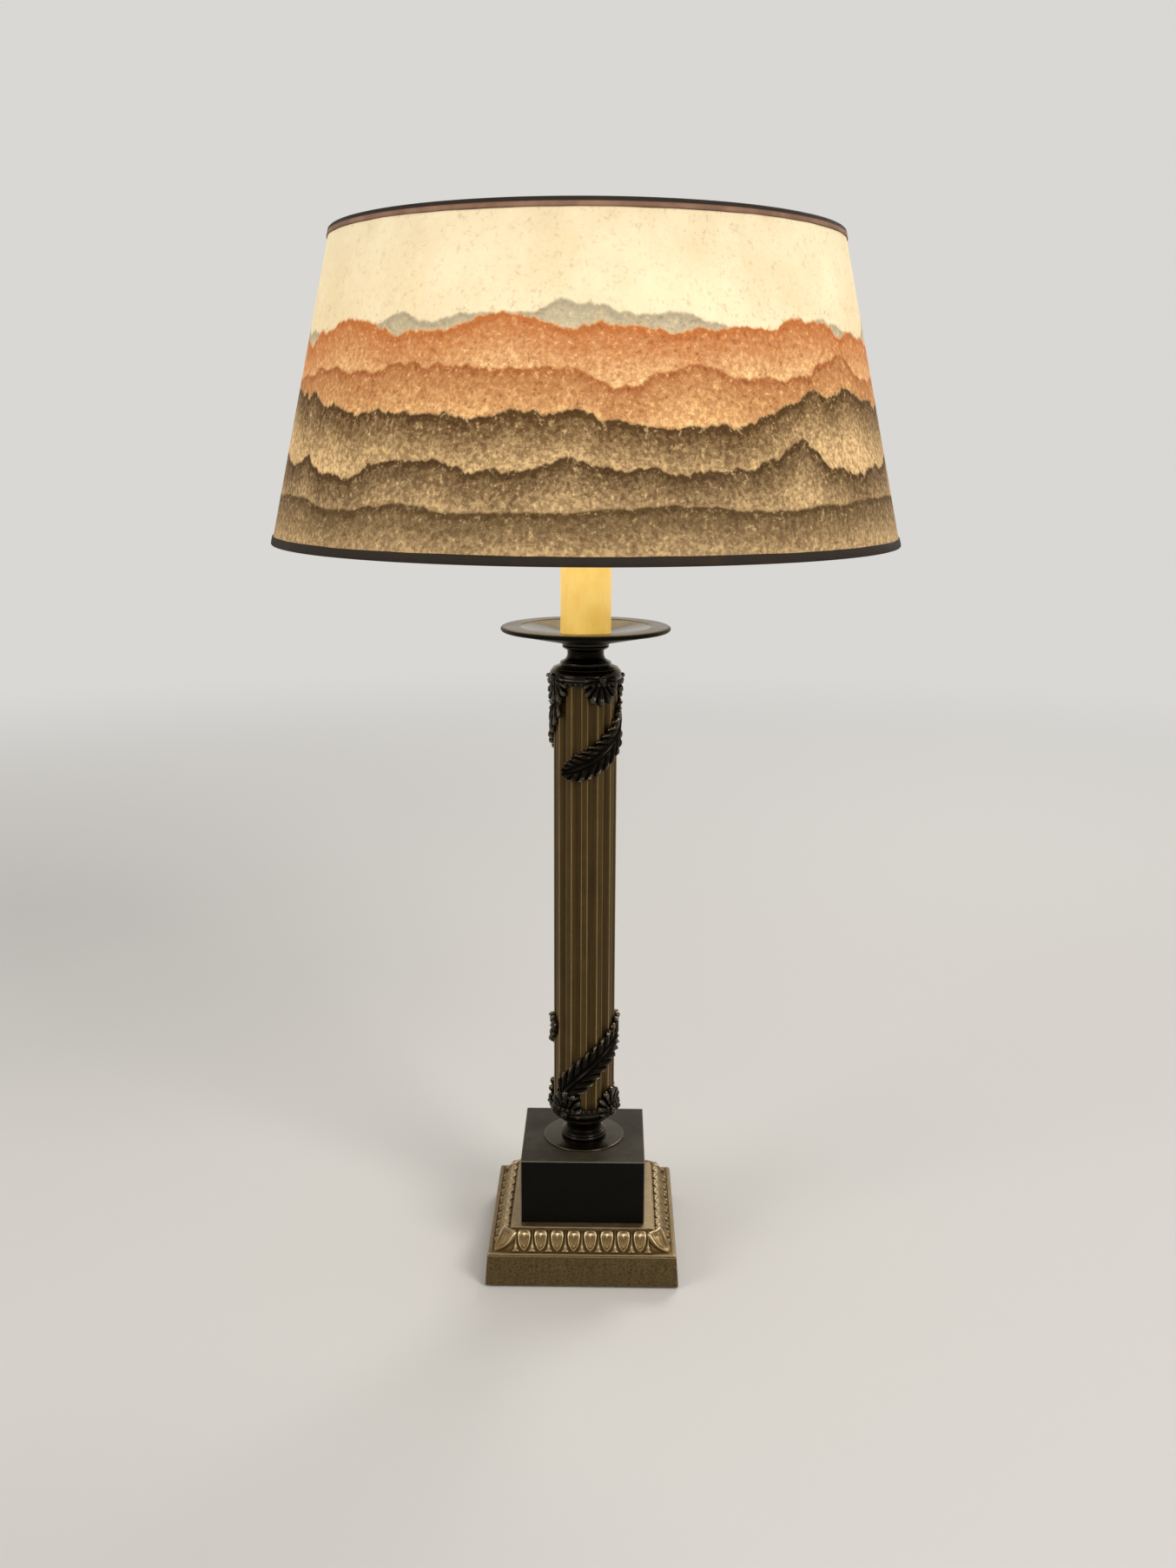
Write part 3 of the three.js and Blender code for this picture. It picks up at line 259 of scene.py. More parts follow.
def castMaterial(name, look):
    material, tree, shader = newMaterial(name)
    surface = place(tree, castFinish, look["cast"])
    color = surface["Color"]
    if "dustAndSheen" in look:
        color = place(tree, dustAndSheenFilm, {"Color": color, "Amount": look["dustAndSheen"]})["Color"]
    if "streak" in look:
        streak = place(tree, longStreaks, {"Across": 420.0, "Along": 9.0})["Mask"]
        color = mixed(tree, ramp(tree, streak, 0.35, 0.7, 0.0, look["streak"]), color, look["streakColor"])
    dress(tree, shader, {
        "Base Color": color, "Roughness": surface["Roughness"], "Metallic": look["metallic"],
        "Specular IOR Level": look["specular"], "Specular Tint": look.get("tint", (1, 1, 1, 1)),
        "Coat Roughness": look.get("coatRoughness", 0.2)})
    if "coat" in look:
        dress(tree, shader, {"Coat Weight": times(tree, surface["Polish"], look["coat"])})
    bump(tree, shader, surface["Height"], look["bump"])
    return material


# The worn colour here is rubbed bronze and, on the mounts' crests and curled tips, a painted highlight
blackBronze = castMaterial("blackBronze", {
    "cast": {"Base Color": (0.0080, 0.0056, 0.0027, 1), "Recess Color": (0.0014, 0.0010, 0.0006, 1),
             "Worn Color": (0.150, 0.114, 0.068, 1), "Blotch Scale": 110.0, "Grain Scale": 1300.0,
             "Wear": 0.8, "Roughness": 0.25, "Mottle": 0.4, "Speckle": 0.3},
    "metallic": 0.9, "bump": 0.05, "specular": 0.3, "tint": (1.0, 0.94, 0.82, 1),
    "coat": 0.55, "coatRoughness": 0.09, "dustAndSheen": 0.11})
# The pan's heavy film on its upward faces is partly dust and partly painted light from the lamp above
panBronze = castMaterial("panBronze", {
    "cast": {"Base Color": (0.0075, 0.0060, 0.0040, 1), "Recess Color": (0.0040, 0.0032, 0.0022, 1),
             "Worn Color": (0.10, 0.078, 0.050, 1), "Blotch Scale": 40.0, "Grain Scale": 900.0,
             "Wear": 0.5, "Roughness": 0.30, "Mottle": 0.2, "Speckle": 0.1},
    "metallic": 0.9, "bump": 0.008, "specular": 0.3, "tint": (1.0, 0.98, 0.92, 1),
    "coat": 1.0, "coatRoughness": 0.13, "dustAndSheen": 0.27})
antiqueGilt = castMaterial("antiqueGilt", {
    "cast": {"Base Color": (0.193, 0.128, 0.052, 1), "Recess Color": (0.118, 0.073, 0.025, 1),
             "Worn Color": (0.63, 0.50, 0.31, 1), "Blotch Scale": 85.0, "Grain Scale": 1100.0,
             "Wear": 0.9, "Roughness": 0.37, "Mottle": 0.3, "Speckle": 0.45},
    "metallic": 0.84, "bump": 0.10, "specular": 0.4, "dustAndSheen": 0.05})
plinthBronze = castMaterial("plinthBronze", {
    "cast": {"Base Color": (0.088, 0.060, 0.0215, 1), "Recess Color": (0.036, 0.023, 0.008, 1),
             "Worn Color": (0.30, 0.215, 0.105, 1), "Blotch Scale": 330.0, "Grain Scale": 900.0,
             "Wear": 0.7, "Roughness": 0.52, "Mottle": 1.1, "Speckle": 1.0},
    "metallic": 0.6, "bump": 0.6, "specular": 0.3, "dustAndSheen": 0.05,
    "streak": 0.5, "streakColor": (0.125, 0.086, 0.034, 1)})
satinBlack = castMaterial("satinBlack", {
    "cast": {"Base Color": (0.0019, 0.0014, 0.0006, 1), "Recess Color": (0.0014, 0.0010, 0.0005, 1),
             "Worn Color": (0.19, 0.165, 0.125, 1), "Blotch Scale": 28.0, "Grain Scale": 700.0,
             "Wear": 0.8, "Roughness": 0.46, "Mottle": 0.3, "Speckle": 0.8},
    "metallic": 0.0, "bump": 0.05, "specular": 0.09, "dustAndSheen": 0.20})
columnGilt = castMaterial("columnGilt", {
    "cast": {"Base Color": (0.060, 0.0365, 0.0105, 1), "Recess Color": (0.031, 0.0185, 0.0050, 1),
             "Worn Color": (0.36, 0.26, 0.135, 1), "Blotch Scale": 18.0, "Grain Scale": 900.0,
             "Wear": 0.95, "Roughness": 0.34, "Mottle": 0.3, "Speckle": 0.5},
    "metallic": 0.5, "bump": 0.06, "specular": 0.25, "tint": (1.0, 0.86, 0.62, 1),
    "streak": 0.45, "streakColor": (0.088, 0.052, 0.017, 1)})


def streakMaterial(name, dark, light, roughness, metallic):
    material, tree, shader = newMaterial(name)
    streak = place(tree, longStreaks, {"Across": 900.0, "Along": 60.0})["Mask"]
    cloud = noise(tree, objectSpot(tree), 70.0, 5.0, 0.6)
    blend = plus(tree, times(tree, streak, 0.5), times(tree, cloud, 0.5))
    color = mixed(tree, ramp(tree, blend, 0.34, 0.66), dark, light)
    dress(tree, shader, {
        "Base Color": place(tree, dustAndSheenFilm, {"Color": color, "Amount": 0.06})["Color"],
        "Roughness": ramp(tree, blend, 0.3, 0.7, roughness + 0.1, roughness - 0.06), "Metallic": metallic})
    bump(tree, shader, streak, 0.05, 0.0003)
    return material


lampBrass = streakMaterial("lampBrass", (0.40, 0.245, 0.075, 1), (0.72, 0.50, 0.20, 1), 0.26, 1.0)
platedSteel = streakMaterial("platedSteel", (0.36, 0.355, 0.34, 1), (0.62, 0.61, 0.58, 1), 0.32, 1.0)
castIron = streakMaterial("castIron", (0.035, 0.034, 0.032, 1), (0.08, 0.075, 0.07, 1), 0.75, 0.5)
brownFibre = streakMaterial("brownFibre", (0.16, 0.095, 0.05, 1), (0.28, 0.18, 0.10, 1), 0.85, 0.0)
blackPhenolic = streakMaterial("blackPhenolic", (0.014, 0.011, 0.009, 1), (0.035, 0.027, 0.02, 1), 0.38, 0.0)


# Mesh helpers
plainMark = 0.5  # relief of a face that is neither sunk nor worn


def shadeSmooth(mesh, sharpAngle):
    mesh.polygons.foreach_set("use_smooth", [True] * len(mesh.polygons))
    mesh.update()
    if sharpAngle:
        mesh.set_sharp_from_angle(angle=math.radians(sharpAngle))


def addPiece(name, verts, faces, material, relief=None, sharpAngle=38):
    mesh = bpy.data.meshes.new(name)
    mesh.from_pydata((np.asarray(verts, float) * mm).tolist(), [], faces)
    mesh.materials.append(material)
    if relief is not None:
        field = mesh.attributes.new("relief", "FLOAT", "POINT")
        field.data.foreach_set("value", np.asarray(relief, np.float32))
    shadeSmooth(mesh, sharpAngle)
    piece = bpy.data.objects.new(name, mesh)
    scene.collection.objects.link(piece)
    return piece


def settle(piece, body, slot, *nodes):
    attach(piece, body)
    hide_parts(*nodes)


def low(node):
    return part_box(node)[0].z / mm


def high(node):
    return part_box(node)[1].z / mm


def midHeight(node):
    return (low(node) + high(node)) / 2


def around(azimuth, radius, height=0.0):
    angle = math.radians(azimuth)
    return (radius * math.sin(angle), -radius * math.cos(angle), height)


# Grids of points wrapped round Z, with the angle in radians
def wrapped(angle, radius, height):
    return np.stack([radius * np.sin(angle), -radius * np.cos(angle), height + 0 * radius], -1)


def raised(outline, rise):
    return [(x, z + rise) for x, z in outline]


# Rounds the corners of an outline: each point is (x, z) or (x, z, size of its corner)
def softened(outline, steps=4):
    points = []
    count = len(outline)
    for k, corner in enumerate(outline):
        here = Vector(corner[:2])
        size = corner[2] if len(corner) > 2 else 0
        if not size:
            points.append((here.x, here.y))
            continue
        before = (Vector(outline[k - 1][:2]) - here).normalized() * size
        after = (Vector(outline[(k + 1) % count][:2]) - here).normalized() * size
        for i in range(steps + 1):
            t = i / steps
            spot = here + (1 - t) ** 2 * before + t * t * after
            points.append((spot.x, spot.y))
    return points


def bezier(p0, p1, p2, p3, steps):
    t = np.linspace(0, 1, steps + 1)[:, None]
    a, b, c, d = (np.array(p, float) for p in (p0, p1, p2, p3))
    points = (1 - t) ** 3 * a + 3 * (1 - t) ** 2 * t * b + 3 * (1 - t) * t * t * c + t ** 3 * d
    return [tuple(p) for p in points]


def smooth(value, start, end):
    share = np.clip((value - start) / (end - start), 0, 1)
    return share * share * (3 - 2 * share)


# A soft ridge of height 1 at a middle value
def ridgeAt(value, middle, width):
    return np.exp(-((value - middle) / width) ** 2)


def loft(rings, closed=False):
    faces = []
    pairs = list(zip(rings, rings[1:])) + ([(rings[-1], rings[0])] if closed else [])
    for lower, upper in pairs:
        count = max(len(lower), len(upper))
        for s in range(count):
            t = (s + 1) % count
            if len(lower) == 1:
                faces.append((lower[0], upper[t], upper[s]))
            elif len(upper) == 1:
                faces.append((lower[s], lower[t], upper[0]))
            else:
                faces.append((lower[s], lower[t], upper[t], upper[s]))
    return faces


def cappedLoft(rings):
    return loft(rings) + [tuple(rings[0][::-1]), tuple(rings[-1])]


def reversedFaces(faces):
    return [face[::-1] for face in faces]


# Puts an outline and its marks in the order that turns the faces outwards, and says if it closes on itself
def ordered(outline, relief):
    outline = [tuple(p) for p in outline]
    marks = list(relief) if relief is not None else [plainMark] * len(outline)
    points = np.array(outline, float)
    following = np.roll(points, -1, axis=0)
    if np.sum(points[:, 0] * following[:, 1] - following[:, 0] * points[:, 1]) < 0:
        outline, marks = outline[::-1], marks[::-1]
    onAxis = outline[0][0] == 0 and outline[-1][0] == 0
    return outline, marks, not onAxis


# Adds a ring of points to verts for each (radius, height), or one point on the axis
def addRings(verts, outline, sides):
    rings = []
    for radius, height in outline:
        count = 1 if radius == 0 else sides
        rings.append(list(range(len(verts), len(verts) + count)))
        verts += [around(360 * s / sides, radius, height) for s in range(count)]
    return rings


# A turned shape about Z from (radius, height) points. Returns points, faces and relief.
def turned(outline, sides, relief=None):
    outline, marks, closed = ordered(outline, relief)
    verts = []
    rings = addRings(verts, outline, sides)
    values = [mark for ring, mark in zip(rings, marks) for point in ring]
    return verts, loft(rings, closed), values


def turnedPiece(name, outline, sides, material, relief=None):
    verts, faces, values = turned(outline, sides, relief)
    return addPiece(name, verts, faces, material, values)


# A square shape with rounded upright edges: the outline's x is half of a side
def squared(outline, corner, cornerSteps, relief):
    outline, marks, closed = ordered(outline, relief)
    widest = max(half for half, height in outline)
    quarterTurn = math.pi / 2
    verts, values, rings = [], [], []
    for (half, height), mark in zip(outline, marks):
        start = len(verts)
        size, flatStep = min(corner, half * 0.5), min(2.0, half * 0.25)
        rubbedAndHighlit = max(mark, 0.9) if half > widest - 0.7 else mark  # the outermost corners wear first
        for quarter in range(4 if half else 0):
            middle = (quarter + 0.5) * quarterTurn
            centerX = math.copysign(half - size, math.cos(middle))
            centerY = math.copysign(half - size, math.sin(middle))
            for i in range(-1, cornerSteps + 2):  # the outer two points keep the sides flat in the shading
                turn = min(max(i, 0), cornerSteps)
                angle = (quarter + turn / cornerSteps) * quarterTurn
                back = flatStep * (turn - i)
                x, y = centerX + size * math.cos(angle), centerY + size * math.sin(angle)
                verts.append((x + back * math.sin(angle), y - back * math.cos(angle), height))
                values.append(rubbedAndHighlit if 0 < i < cornerSteps else mark)
        if half == 0:
            verts.append((0, 0, height))
            values.append(mark)
        rings.append(list(range(start, len(verts))))
    return verts, loft(rings, closed), values


# A closed skin over a front and a back grid of points, each of shape (along, across, 3)
def slab(front, back, frontRelief, backRelief=0.1):
    rows, columns = front.shape[:2]
    verts = np.concatenate([front.reshape(-1, 3), back.reshape(-1, 3)])
    values = np.concatenate([frontRelief.ravel(), np.full(rows * columns, backRelief)])
    start = rows * columns
    faces = []
    for i in range(rows - 1):
        for j in range(columns - 1):
            a = i * columns + j
            faces.append((a, a + 1, a + columns + 1, a + columns))
            faces.append((start + a, start + a + columns, start + a + columns + 1, start + a + 1))
    rim = list(range(columns - 1))
    rim += [i * columns + columns - 1 for i in range(rows - 1)]
    rim += [(rows - 1) * columns + j for j in range(columns - 1, 0, -1)]
    rim += [i * columns for i in range(rows - 1, 0, -1)]
    for k, a in enumerate(rim):
        b = rim[(k + 1) % len(rim)]
        faces.append((b, a, start + a, start + b))
    return verts, faces, values


def gathered(*parts):
    verts, faces, values, start = [], [], [], 0
    for partVerts, partFaces, partValues in parts:
        verts.append(np.asarray(partVerts, float))
        faces += [tuple(v + start for v in face) for face in partFaces]
        values.append(np.asarray(partValues, float))
        start += len(partVerts)
    return np.concatenate(verts), faces, np.concatenate(values)


# A round wire along points, with closed ends
def wireAlong(points, radius, sides):
    points = np.asarray(points, float)
    tangents = np.gradient(points, axis=0)
    tangents /= np.linalg.norm(tangents, axis=1)[:, None]
    side = np.cross(tangents[0], (0, 0, 1) if abs(tangents[0][2]) < 0.9 else (1, 0, 0))
    verts, rings = [], []
    for spot, tangent in zip(points, tangents):
        side = side - tangent * np.dot(side, tangent)
        side /= np.linalg.norm(side)
        other = np.cross(tangent, side)
        rings.append(list(range(len(verts), len(verts) + sides)))
        for s in range(sides):
            angle = 2 * math.pi * s / sides
            verts.append(spot + radius * (math.cos(angle) * side + math.sin(angle) * other))
    return verts, cappedLoft(rings), [plainMark] * len(verts)


# A rod about Z with a screw groove that runs out at both ends. Returns its points and rings.
def threaded(radius, depth, pitch, foot, top, sides, stepsPerTurn):
    rows = max(2, int((top - foot) / pitch * stepsPerTurn))
    verts, rings = [], []
    for r in range(rows + 1):
        z = foot + (top - foot) * r / rows
        ends = min(1.0, (z - foot) / pitch, (top - z) / pitch)
        rings.append(list(range(len(verts), len(verts) + sides)))
        for s in range(sides):
            cycle = (z - foot) / pitch - s / sides
            groove = 0.5 + 0.5 * math.cos(2 * math.pi * cycle)
            verts.append(around(360 * s / sides, radius - depth * groove * ends, z))
    return verts, rings


# The mesh that a piece's modifiers make; the modifiers go
def madeMesh(piece):
    mesh = bpy.data.meshes.new_from_object(piece.evaluated_get(bpy.context.evaluated_depsgraph_get()))
    piece.modifiers.clear()
    return mesh


# Cuts a round hole along Z from start to end, or where lay puts the drill's points
def drill(piece, radius, start, end, sides, lay=None):
    verts, faces, _ = turned([(0, start), (radius, start), (radius, end), (0, end)], sides)
    verts = [lay(*vert) for vert in verts] if lay else verts
    cutter = addPiece("drill", verts, faces, piece.data.materials[0])
    tool = piece.modifiers.new("opening", "BOOLEAN")
    tool.operation = "DIFFERENCE"
    tool.solver = "EXACT"
    tool.object = cutter
    piece.data = madeMesh(piece)
    whole = bmesh.new()
    whole.from_mesh(piece.data)
    bmesh.ops.remove_doubles(whole, verts=whole.verts, dist=0.002 * mm)
    whole.to_mesh(piece.data)
    whole.free()
    bpy.data.objects.remove(cutter)


# Geometry Nodes helpers
def newTree(name, sockets):
    geometry = ("Geometry", "Geometry")
    return newGroup(name, [geometry, *sockets], [geometry], "GeometryNodeTree")


def shapeOf(tree, thing):
    return put(tree, "GeometryNodeObjectInfo", {"Object": thing}).outputs["Geometry"]


def pointLine(tree, count, start=(0, 0, 0), offset=(0, 0, 0)):
    inputs = {"Count": count, "Start Location": start, "Offset": offset}
    return put(tree, "GeometryNodeMeshLine", inputs).outputs[0]


def copies(tree, points, shape, rotation=(0, 0, 0)):
    inputs = {"Points": points, "Instance": shape, "Rotation": rotation}
    return put(tree, "GeometryNodeInstanceOnPoints", inputs).outputs[0]


# Copies of a shape turned about Z in equal steps
def ringOf(tree, shape, count, step):
    index = put(tree, "GeometryNodeInputIndex").outputs[0]
    return copies(tree, pointLine(tree, count), shape, combined(tree, z=times(tree, index, step)))


def joined(tree, *parts):
    node = put(tree, "GeometryNodeJoinGeometry")
    for part in parts:
        tree.links.new(part, node.inputs[0])
    return node.outputs[0]


# Closes a tree: loose copies become plain faces with one material
def closeTree(tree, out, geometry, material):
    solid = put(tree, "GeometryNodeRealizeInstances", {"Geometry": geometry}).outputs[0]
    rounded = put(tree, "GeometryNodeSetShadeSmooth", {"Geometry": solid}).outputs[0]
    painted = put(tree, "GeometryNodeSetMaterial", {"Geometry": rounded, "Material": material}).outputs[0]
    tree.links.new(painted, out.inputs[0])


def grow(piece, tree, values):
    modifier = piece.modifiers.new(tree.name, "NODES")
    modifier.node_group = tree
    for item in tree.interface.items_tree:
        if item.in_out == "INPUT" and item.name in values:
            modifier[item.identifier] = values[item.name]
    piece.data = madeMesh(piece)


# Felt pad under the plinth
feltPad = {
    "side": 142.0, "thickness": 1.5, "cells": 56, "cutEdge": 1.5, "pressed": 0.12, "fuzz": 0.12, "seed": 7,
}


def makeFeltCloth():
    material, tree, shader = newMaterial("greenFelt")
    spot = objectSpot(tree)
    fibre = noise(tree, stretched(tree, spot, (1.0, 2.6, 1.0)), 900.0, 6.0, 0.7)
    cloud = noise(tree, spot, 60.0, 4.0, 0.6)
    color = mixed(tree, ramp(tree, fibre, 0.3, 0.7), (0.012, 0.026, 0.018, 1), (0.04, 0.07, 0.05, 1))
    color = mixed(tree, ramp(tree, cloud, 0.35, 0.7, 0.0, 0.4), color, (0.02, 0.035, 0.025, 1))
    dress(tree, shader, {"Base Color": color, "Roughness": ramp(tree, cloud, 0.3, 0.7, 0.88, 1.0)})
    bump(tree, shader, fibre, 0.6)
    return material


def makeFelt(pad):
    half, cutEdge = pad["side"] / 2, pad["cutEdge"]
    line = np.linspace(-half, half, pad["cells"] + 1)
    grid = np.stack(np.meshgrid(line, line, indexing="ij"), -1)
    edge = np.clip((np.abs(grid).max(-1) - half + cutEdge) / cutEdge, 0, 1)[..., None]
    fuzz = np.random.default_rng(pad["seed"]).uniform(-pad["fuzz"], pad["fuzz"], grid.shape)
    flat = grid + fuzz * edge
    pressed = pad["pressed"] * edge  # the cut edge is pressed thinner
    lower = np.concatenate([flat, pressed], -1)
    upper = np.concatenate([flat, pad["thickness"] - pressed], -1)
    verts, faces, values = slab(upper, lower, np.full(edge.shape, plainMark))
    piece = addPiece("feltSheet", verts, reversedFaces(faces), makeFeltCloth(), values, 50)
    settle(piece, "stand", "felt", "felt_pad")


makeFelt(feltPad)
print("felt made")


# Square plinth with the cord's opening at the back
plinth = {
    "half": 73.5, "height": 24.4, "wall": 6.0, "deck": 4.0, "edge": 0.9, "flare": 1.6, "corner": 1.2,
    "cornerSteps": 6, "cordRise": 12.0, "cordHole": 6.3, "holeSides": 48, "drillReach": 20.0,
}


def makePlinth(size):
    foot = low("base_plinth")
    half, tall, flare = size["half"], size["height"], size["flare"]
    inside, ceiling = half - size["wall"], tall - size["deck"]
    outline = softened([(0, ceiling), (inside, ceiling), (inside, 0), (half + flare, 0, 0.6),
                        (half + flare * 0.9, 2), (half - 0.13, tall - 2), (half - 0.3, tall, size["edge"]),
                        (half - 2.5, tall), (0, tall)])
    marks = [0.95 if x > half - 1.0 and (z > tall - 0.7 or z < 0.4) else 0.45 for x, z in outline]
    verts, faces, values = squared(raised(outline, foot), size["corner"], size["cornerSteps"], marks)
    piece = addPiece("plinthCasting", verts, faces, plinthBronze, values)
    hole, reach = foot + size["cordRise"], size["drillReach"]
    drill(piece, size["cordHole"], -reach, reach, size["holeSides"], lambda x, y, z: (x, half - z, hole + y))
    settle(piece, "stand", "plinth_bronze", "base_plinth")


cordBush = {"bore": 4.0, "body": 6.0, "flange": 8.2, "flangeThickness": 1.5, "tail": 2.0, "sides": 56}


def makeCordBush(size):
    bore, body, flange = size["bore"], size["body"], size["flange"]
    inner = plinth["half"] - plinth["wall"] - size["tail"]
    seat = plinth["half"] + plinth["flare"] * 0.85
    outer = seat + size["flangeThickness"]
    outline = softened([(bore, inner, 0.5), (body, inner, 0.5), (body, seat), (flange, seat, 0.3),
                        (flange, outer, 0.9), (bore, outer, 1.1)])
    verts, faces, values = turned(outline, size["sides"])
    hole = low("base_plinth") + plinth["cordRise"]
    verts = [(x, z, hole - y) for x, y, z in verts]
    settle(addPiece("cordBush", verts, faces, blackPhenolic, values), "stand", "phenolic", "cord_bushing")


makePlinth(plinth)
makeCordBush(cordBush)
print("plinth made")


# Leaf-and-dart moulding: a mitred frame, with leaves and darts set along its slope by nodes
moulding = {
    "outer": 72.7, "lipHeight": 1.4, "slopeFoot": (69.5, 1.4), "slopeHead": (57.0, 13.0), "ledgeHalf": 55.5,
    "rise": 15.0, "edge": 0.6, "edgeSteps": 4, "pitch": 12.9, "count": 8, "leafWidth": 10.6,
    "cornerWidth": 16.0, "belly": 0.70, "middle": 0.56, "rim": 1.75, "spoon": 0.25, "rings": 16, "spokes": 48,
    "mitreBend": 4.0, "setBack": 1.3, "dartRows": 22, "dartColumns": 9,
}


def slopeLine(size):
    (footX, footZ), (headX, headZ) = size["slopeFoot"], size["slopeHead"]
    bend = (footX - headX) / 2
    curve = bezier((footX, footZ), (footX - bend, footZ), (headX + bend, headZ), (headX, headZ), 60)
    shelf = np.linspace((headX, headZ), (size["ledgeHalf"] + 0.1, headZ), 7)[1:]
    return np.concatenate([curve, shelf])


# Depth and height at a share of the slope, lifted off it
def onSlope(size, share, lift):
    line = slopeLine(size)
    spot = np.clip(share, 0, 1) * (len(line) - 1)
    index = np.arange(len(line))
    x, z = np.interp(spot, index, line[:, 0]), np.interp(spot, index, line[:, 1])
    tangent = np.gradient(line, axis=0)
    tangent /= np.linalg.norm(tangent, axis=1)[:, None]
    normalX, normalZ = np.interp(spot, index, tangent[:, 1]), np.interp(spot, index, -tangent[:, 0])
    return x + normalX * lift, z + normalZ * lift


# A leaf with a raised rim round a sunk middle, rounded at its head and pointed at its foot
def leafPatch(size, width, corner=False):
    rings, belly, middle, spoon, rim = (size[key] for key in ("rings", "belly", "middle", "spoon", "rim"))
    share = 0.5 - 0.5 * np.cos(np.linspace(0, np.pi, size["spokes"] // 2 + 1))  # from the foot to the head
    lowPart = (1 - (1 - np.clip(share / belly, 0, 1)) ** 2) ** 0.66
    topPart = np.clip(1 - np.clip((share - belly) / (1 - belly), 0, 1) ** 3.2, 0, 1) ** (1 / 2.4)
    reach = width / 2 * np.where(share < belly, lowPart, topPart)
    along = 0.02 + 0.91 * share
    outlineX = np.concatenate([reach, -reach[-2:0:-1]])
    outlineT = np.concatenate([along, along[-2:0:-1]])
    out = np.linspace(0, 1, rings + 1)[:, None]  # from the middle to the edge
    heights = np.interp(out, [0, 0.3, 0.55, 0.66, 0.76, 0.84, 0.93, 1.0],
                        [spoon * 1.6, spoon * 1.2, spoon, 0.75, 1.5, rim, 1.3, -0.8])
    x = out * outlineX[None, :]
    t = middle + out * (outlineT - middle)[None, :]
    swell = 0.8 + 0.3 * np.clip(t, 0, 1) - 0.5 * smooth(t, 0.76, 0.93)
    inBowl = np.clip((0.74 - out) / 0.25, 0, 1)
    crown = (0.5 if corner else 1.25) * smooth(t, 0.48, 0.76) * inBowl  # the bowl swells towards its head
    rib = 0.6 * ridgeAt(x, 0, 0.055 * width) * smooth(t, 0.05, 0.25) * (1 - smooth(t, 0.62, 0.85)) * inBowl
    lift = heights * swell + crown + rib
    mitre, setBack = (math.sqrt(2), size["setBack"]) if corner else (1, 0)
    depth, z = onSlope(size, t, lift)
    depth = depth * mitre - setBack
    if corner:
        depth -= np.sqrt(x * x + size["mitreBend"] ** 2) - size["mitreBend"]  # the leaf bends round the mitre
    foot = low("leaf_moulding")
    grid = np.stack([x, -depth, z + foot], -1)
    # rims and heads are marked bright: worn gilt, and on the heads also a painted highlight
    relief = np.clip(0.20 + 0.62 * (lift - spoon) / (rim - spoon) + 0.22 * t, 0, 1)
    relief[out[:, 0] > 0.97] = 0.0
    backDepth, backZ = onSlope(size, middle, -2.0)
    back = [[0, -backDepth * mitre + setBack, backZ + foot]]
    verts = np.concatenate([grid[0, :1], grid[1:].reshape(-1, 3), back])
    values = np.concatenate([relief[0, :1], relief[1:].ravel(), [0.0]])
    count = len(outlineX)
    loops = [[0], *(list(range(1 + r * count, 1 + (r + 1) * count)) for r in range(rings)), [len(verts) - 1]]
    if corner:
        verts = verts @ np.array(Matrix.Rotation(math.radians(45), 3, "Z")).T
    return addPiece("leafPatch", verts, reversedFaces(loft(loops)), antiqueGilt, values, None)


def dartPatch(size):
    t = np.linspace(0.0, 0.88, size["dartRows"])[:, None]
    across = np.linspace(-1, 1, size["dartColumns"])[None, :]
    x = across * np.interp(t, [0, 0.03, 0.09, 0.18, 0.34, 0.55, 0.92], [1.7, 3.1, 3.6, 2.9, 1.7, 1.25, 0.9])
    ridge = 2.0 * (1 - np.abs(across)) ** 0.6 - 0.3
    lift = ridge * np.interp(t, [0, 0.05, 0.3, 0.92], [0.3, 1.0, 0.85, 0.75])
    skins = []
    for height in (lift, np.full(lift.shape, -1.0)):
        depth, z = onSlope(size, t + 0 * lift, height)
        skins.append(np.stack([x, -depth, z + low("leaf_moulding")], -1))
    verts, faces, values = slab(*skins, np.clip(0.1 + 0.5 * lift, 0, 1))
    return addPiece("dartPatch", verts, faces, antiqueGilt, values, None)


def makeBorderTree():
    tree, given, out = newTree("leafBorder", [
        ("Leaf", "Object"), ("Dart", "Object"), ("Corner", "Object"), ("Pitch", "Float"), ("Leaves", "Int"),
        ("Finish", "Material")])
    runs = []
    for label, extra in (("Leaf", 0), ("Dart", 1)):  # a dart stands on both sides of every leaf
        count = plus(tree, given["Leaves"], extra)
        start = times(tree, minus(tree, count, 1), times(tree, given["Pitch"], -0.5))
        points = pointLine(tree, count, combined(tree, start), combined(tree, given["Pitch"]))
        runs.append(copies(tree, points, shapeOf(tree, given[label])))
    side = joined(tree, *runs, shapeOf(tree, given["Corner"]))
    whole = joined(tree, ringOf(tree, side, 4, math.pi / 2), given["Geometry"])
    closeTree(tree, out, whole, given["Finish"])
    return tree


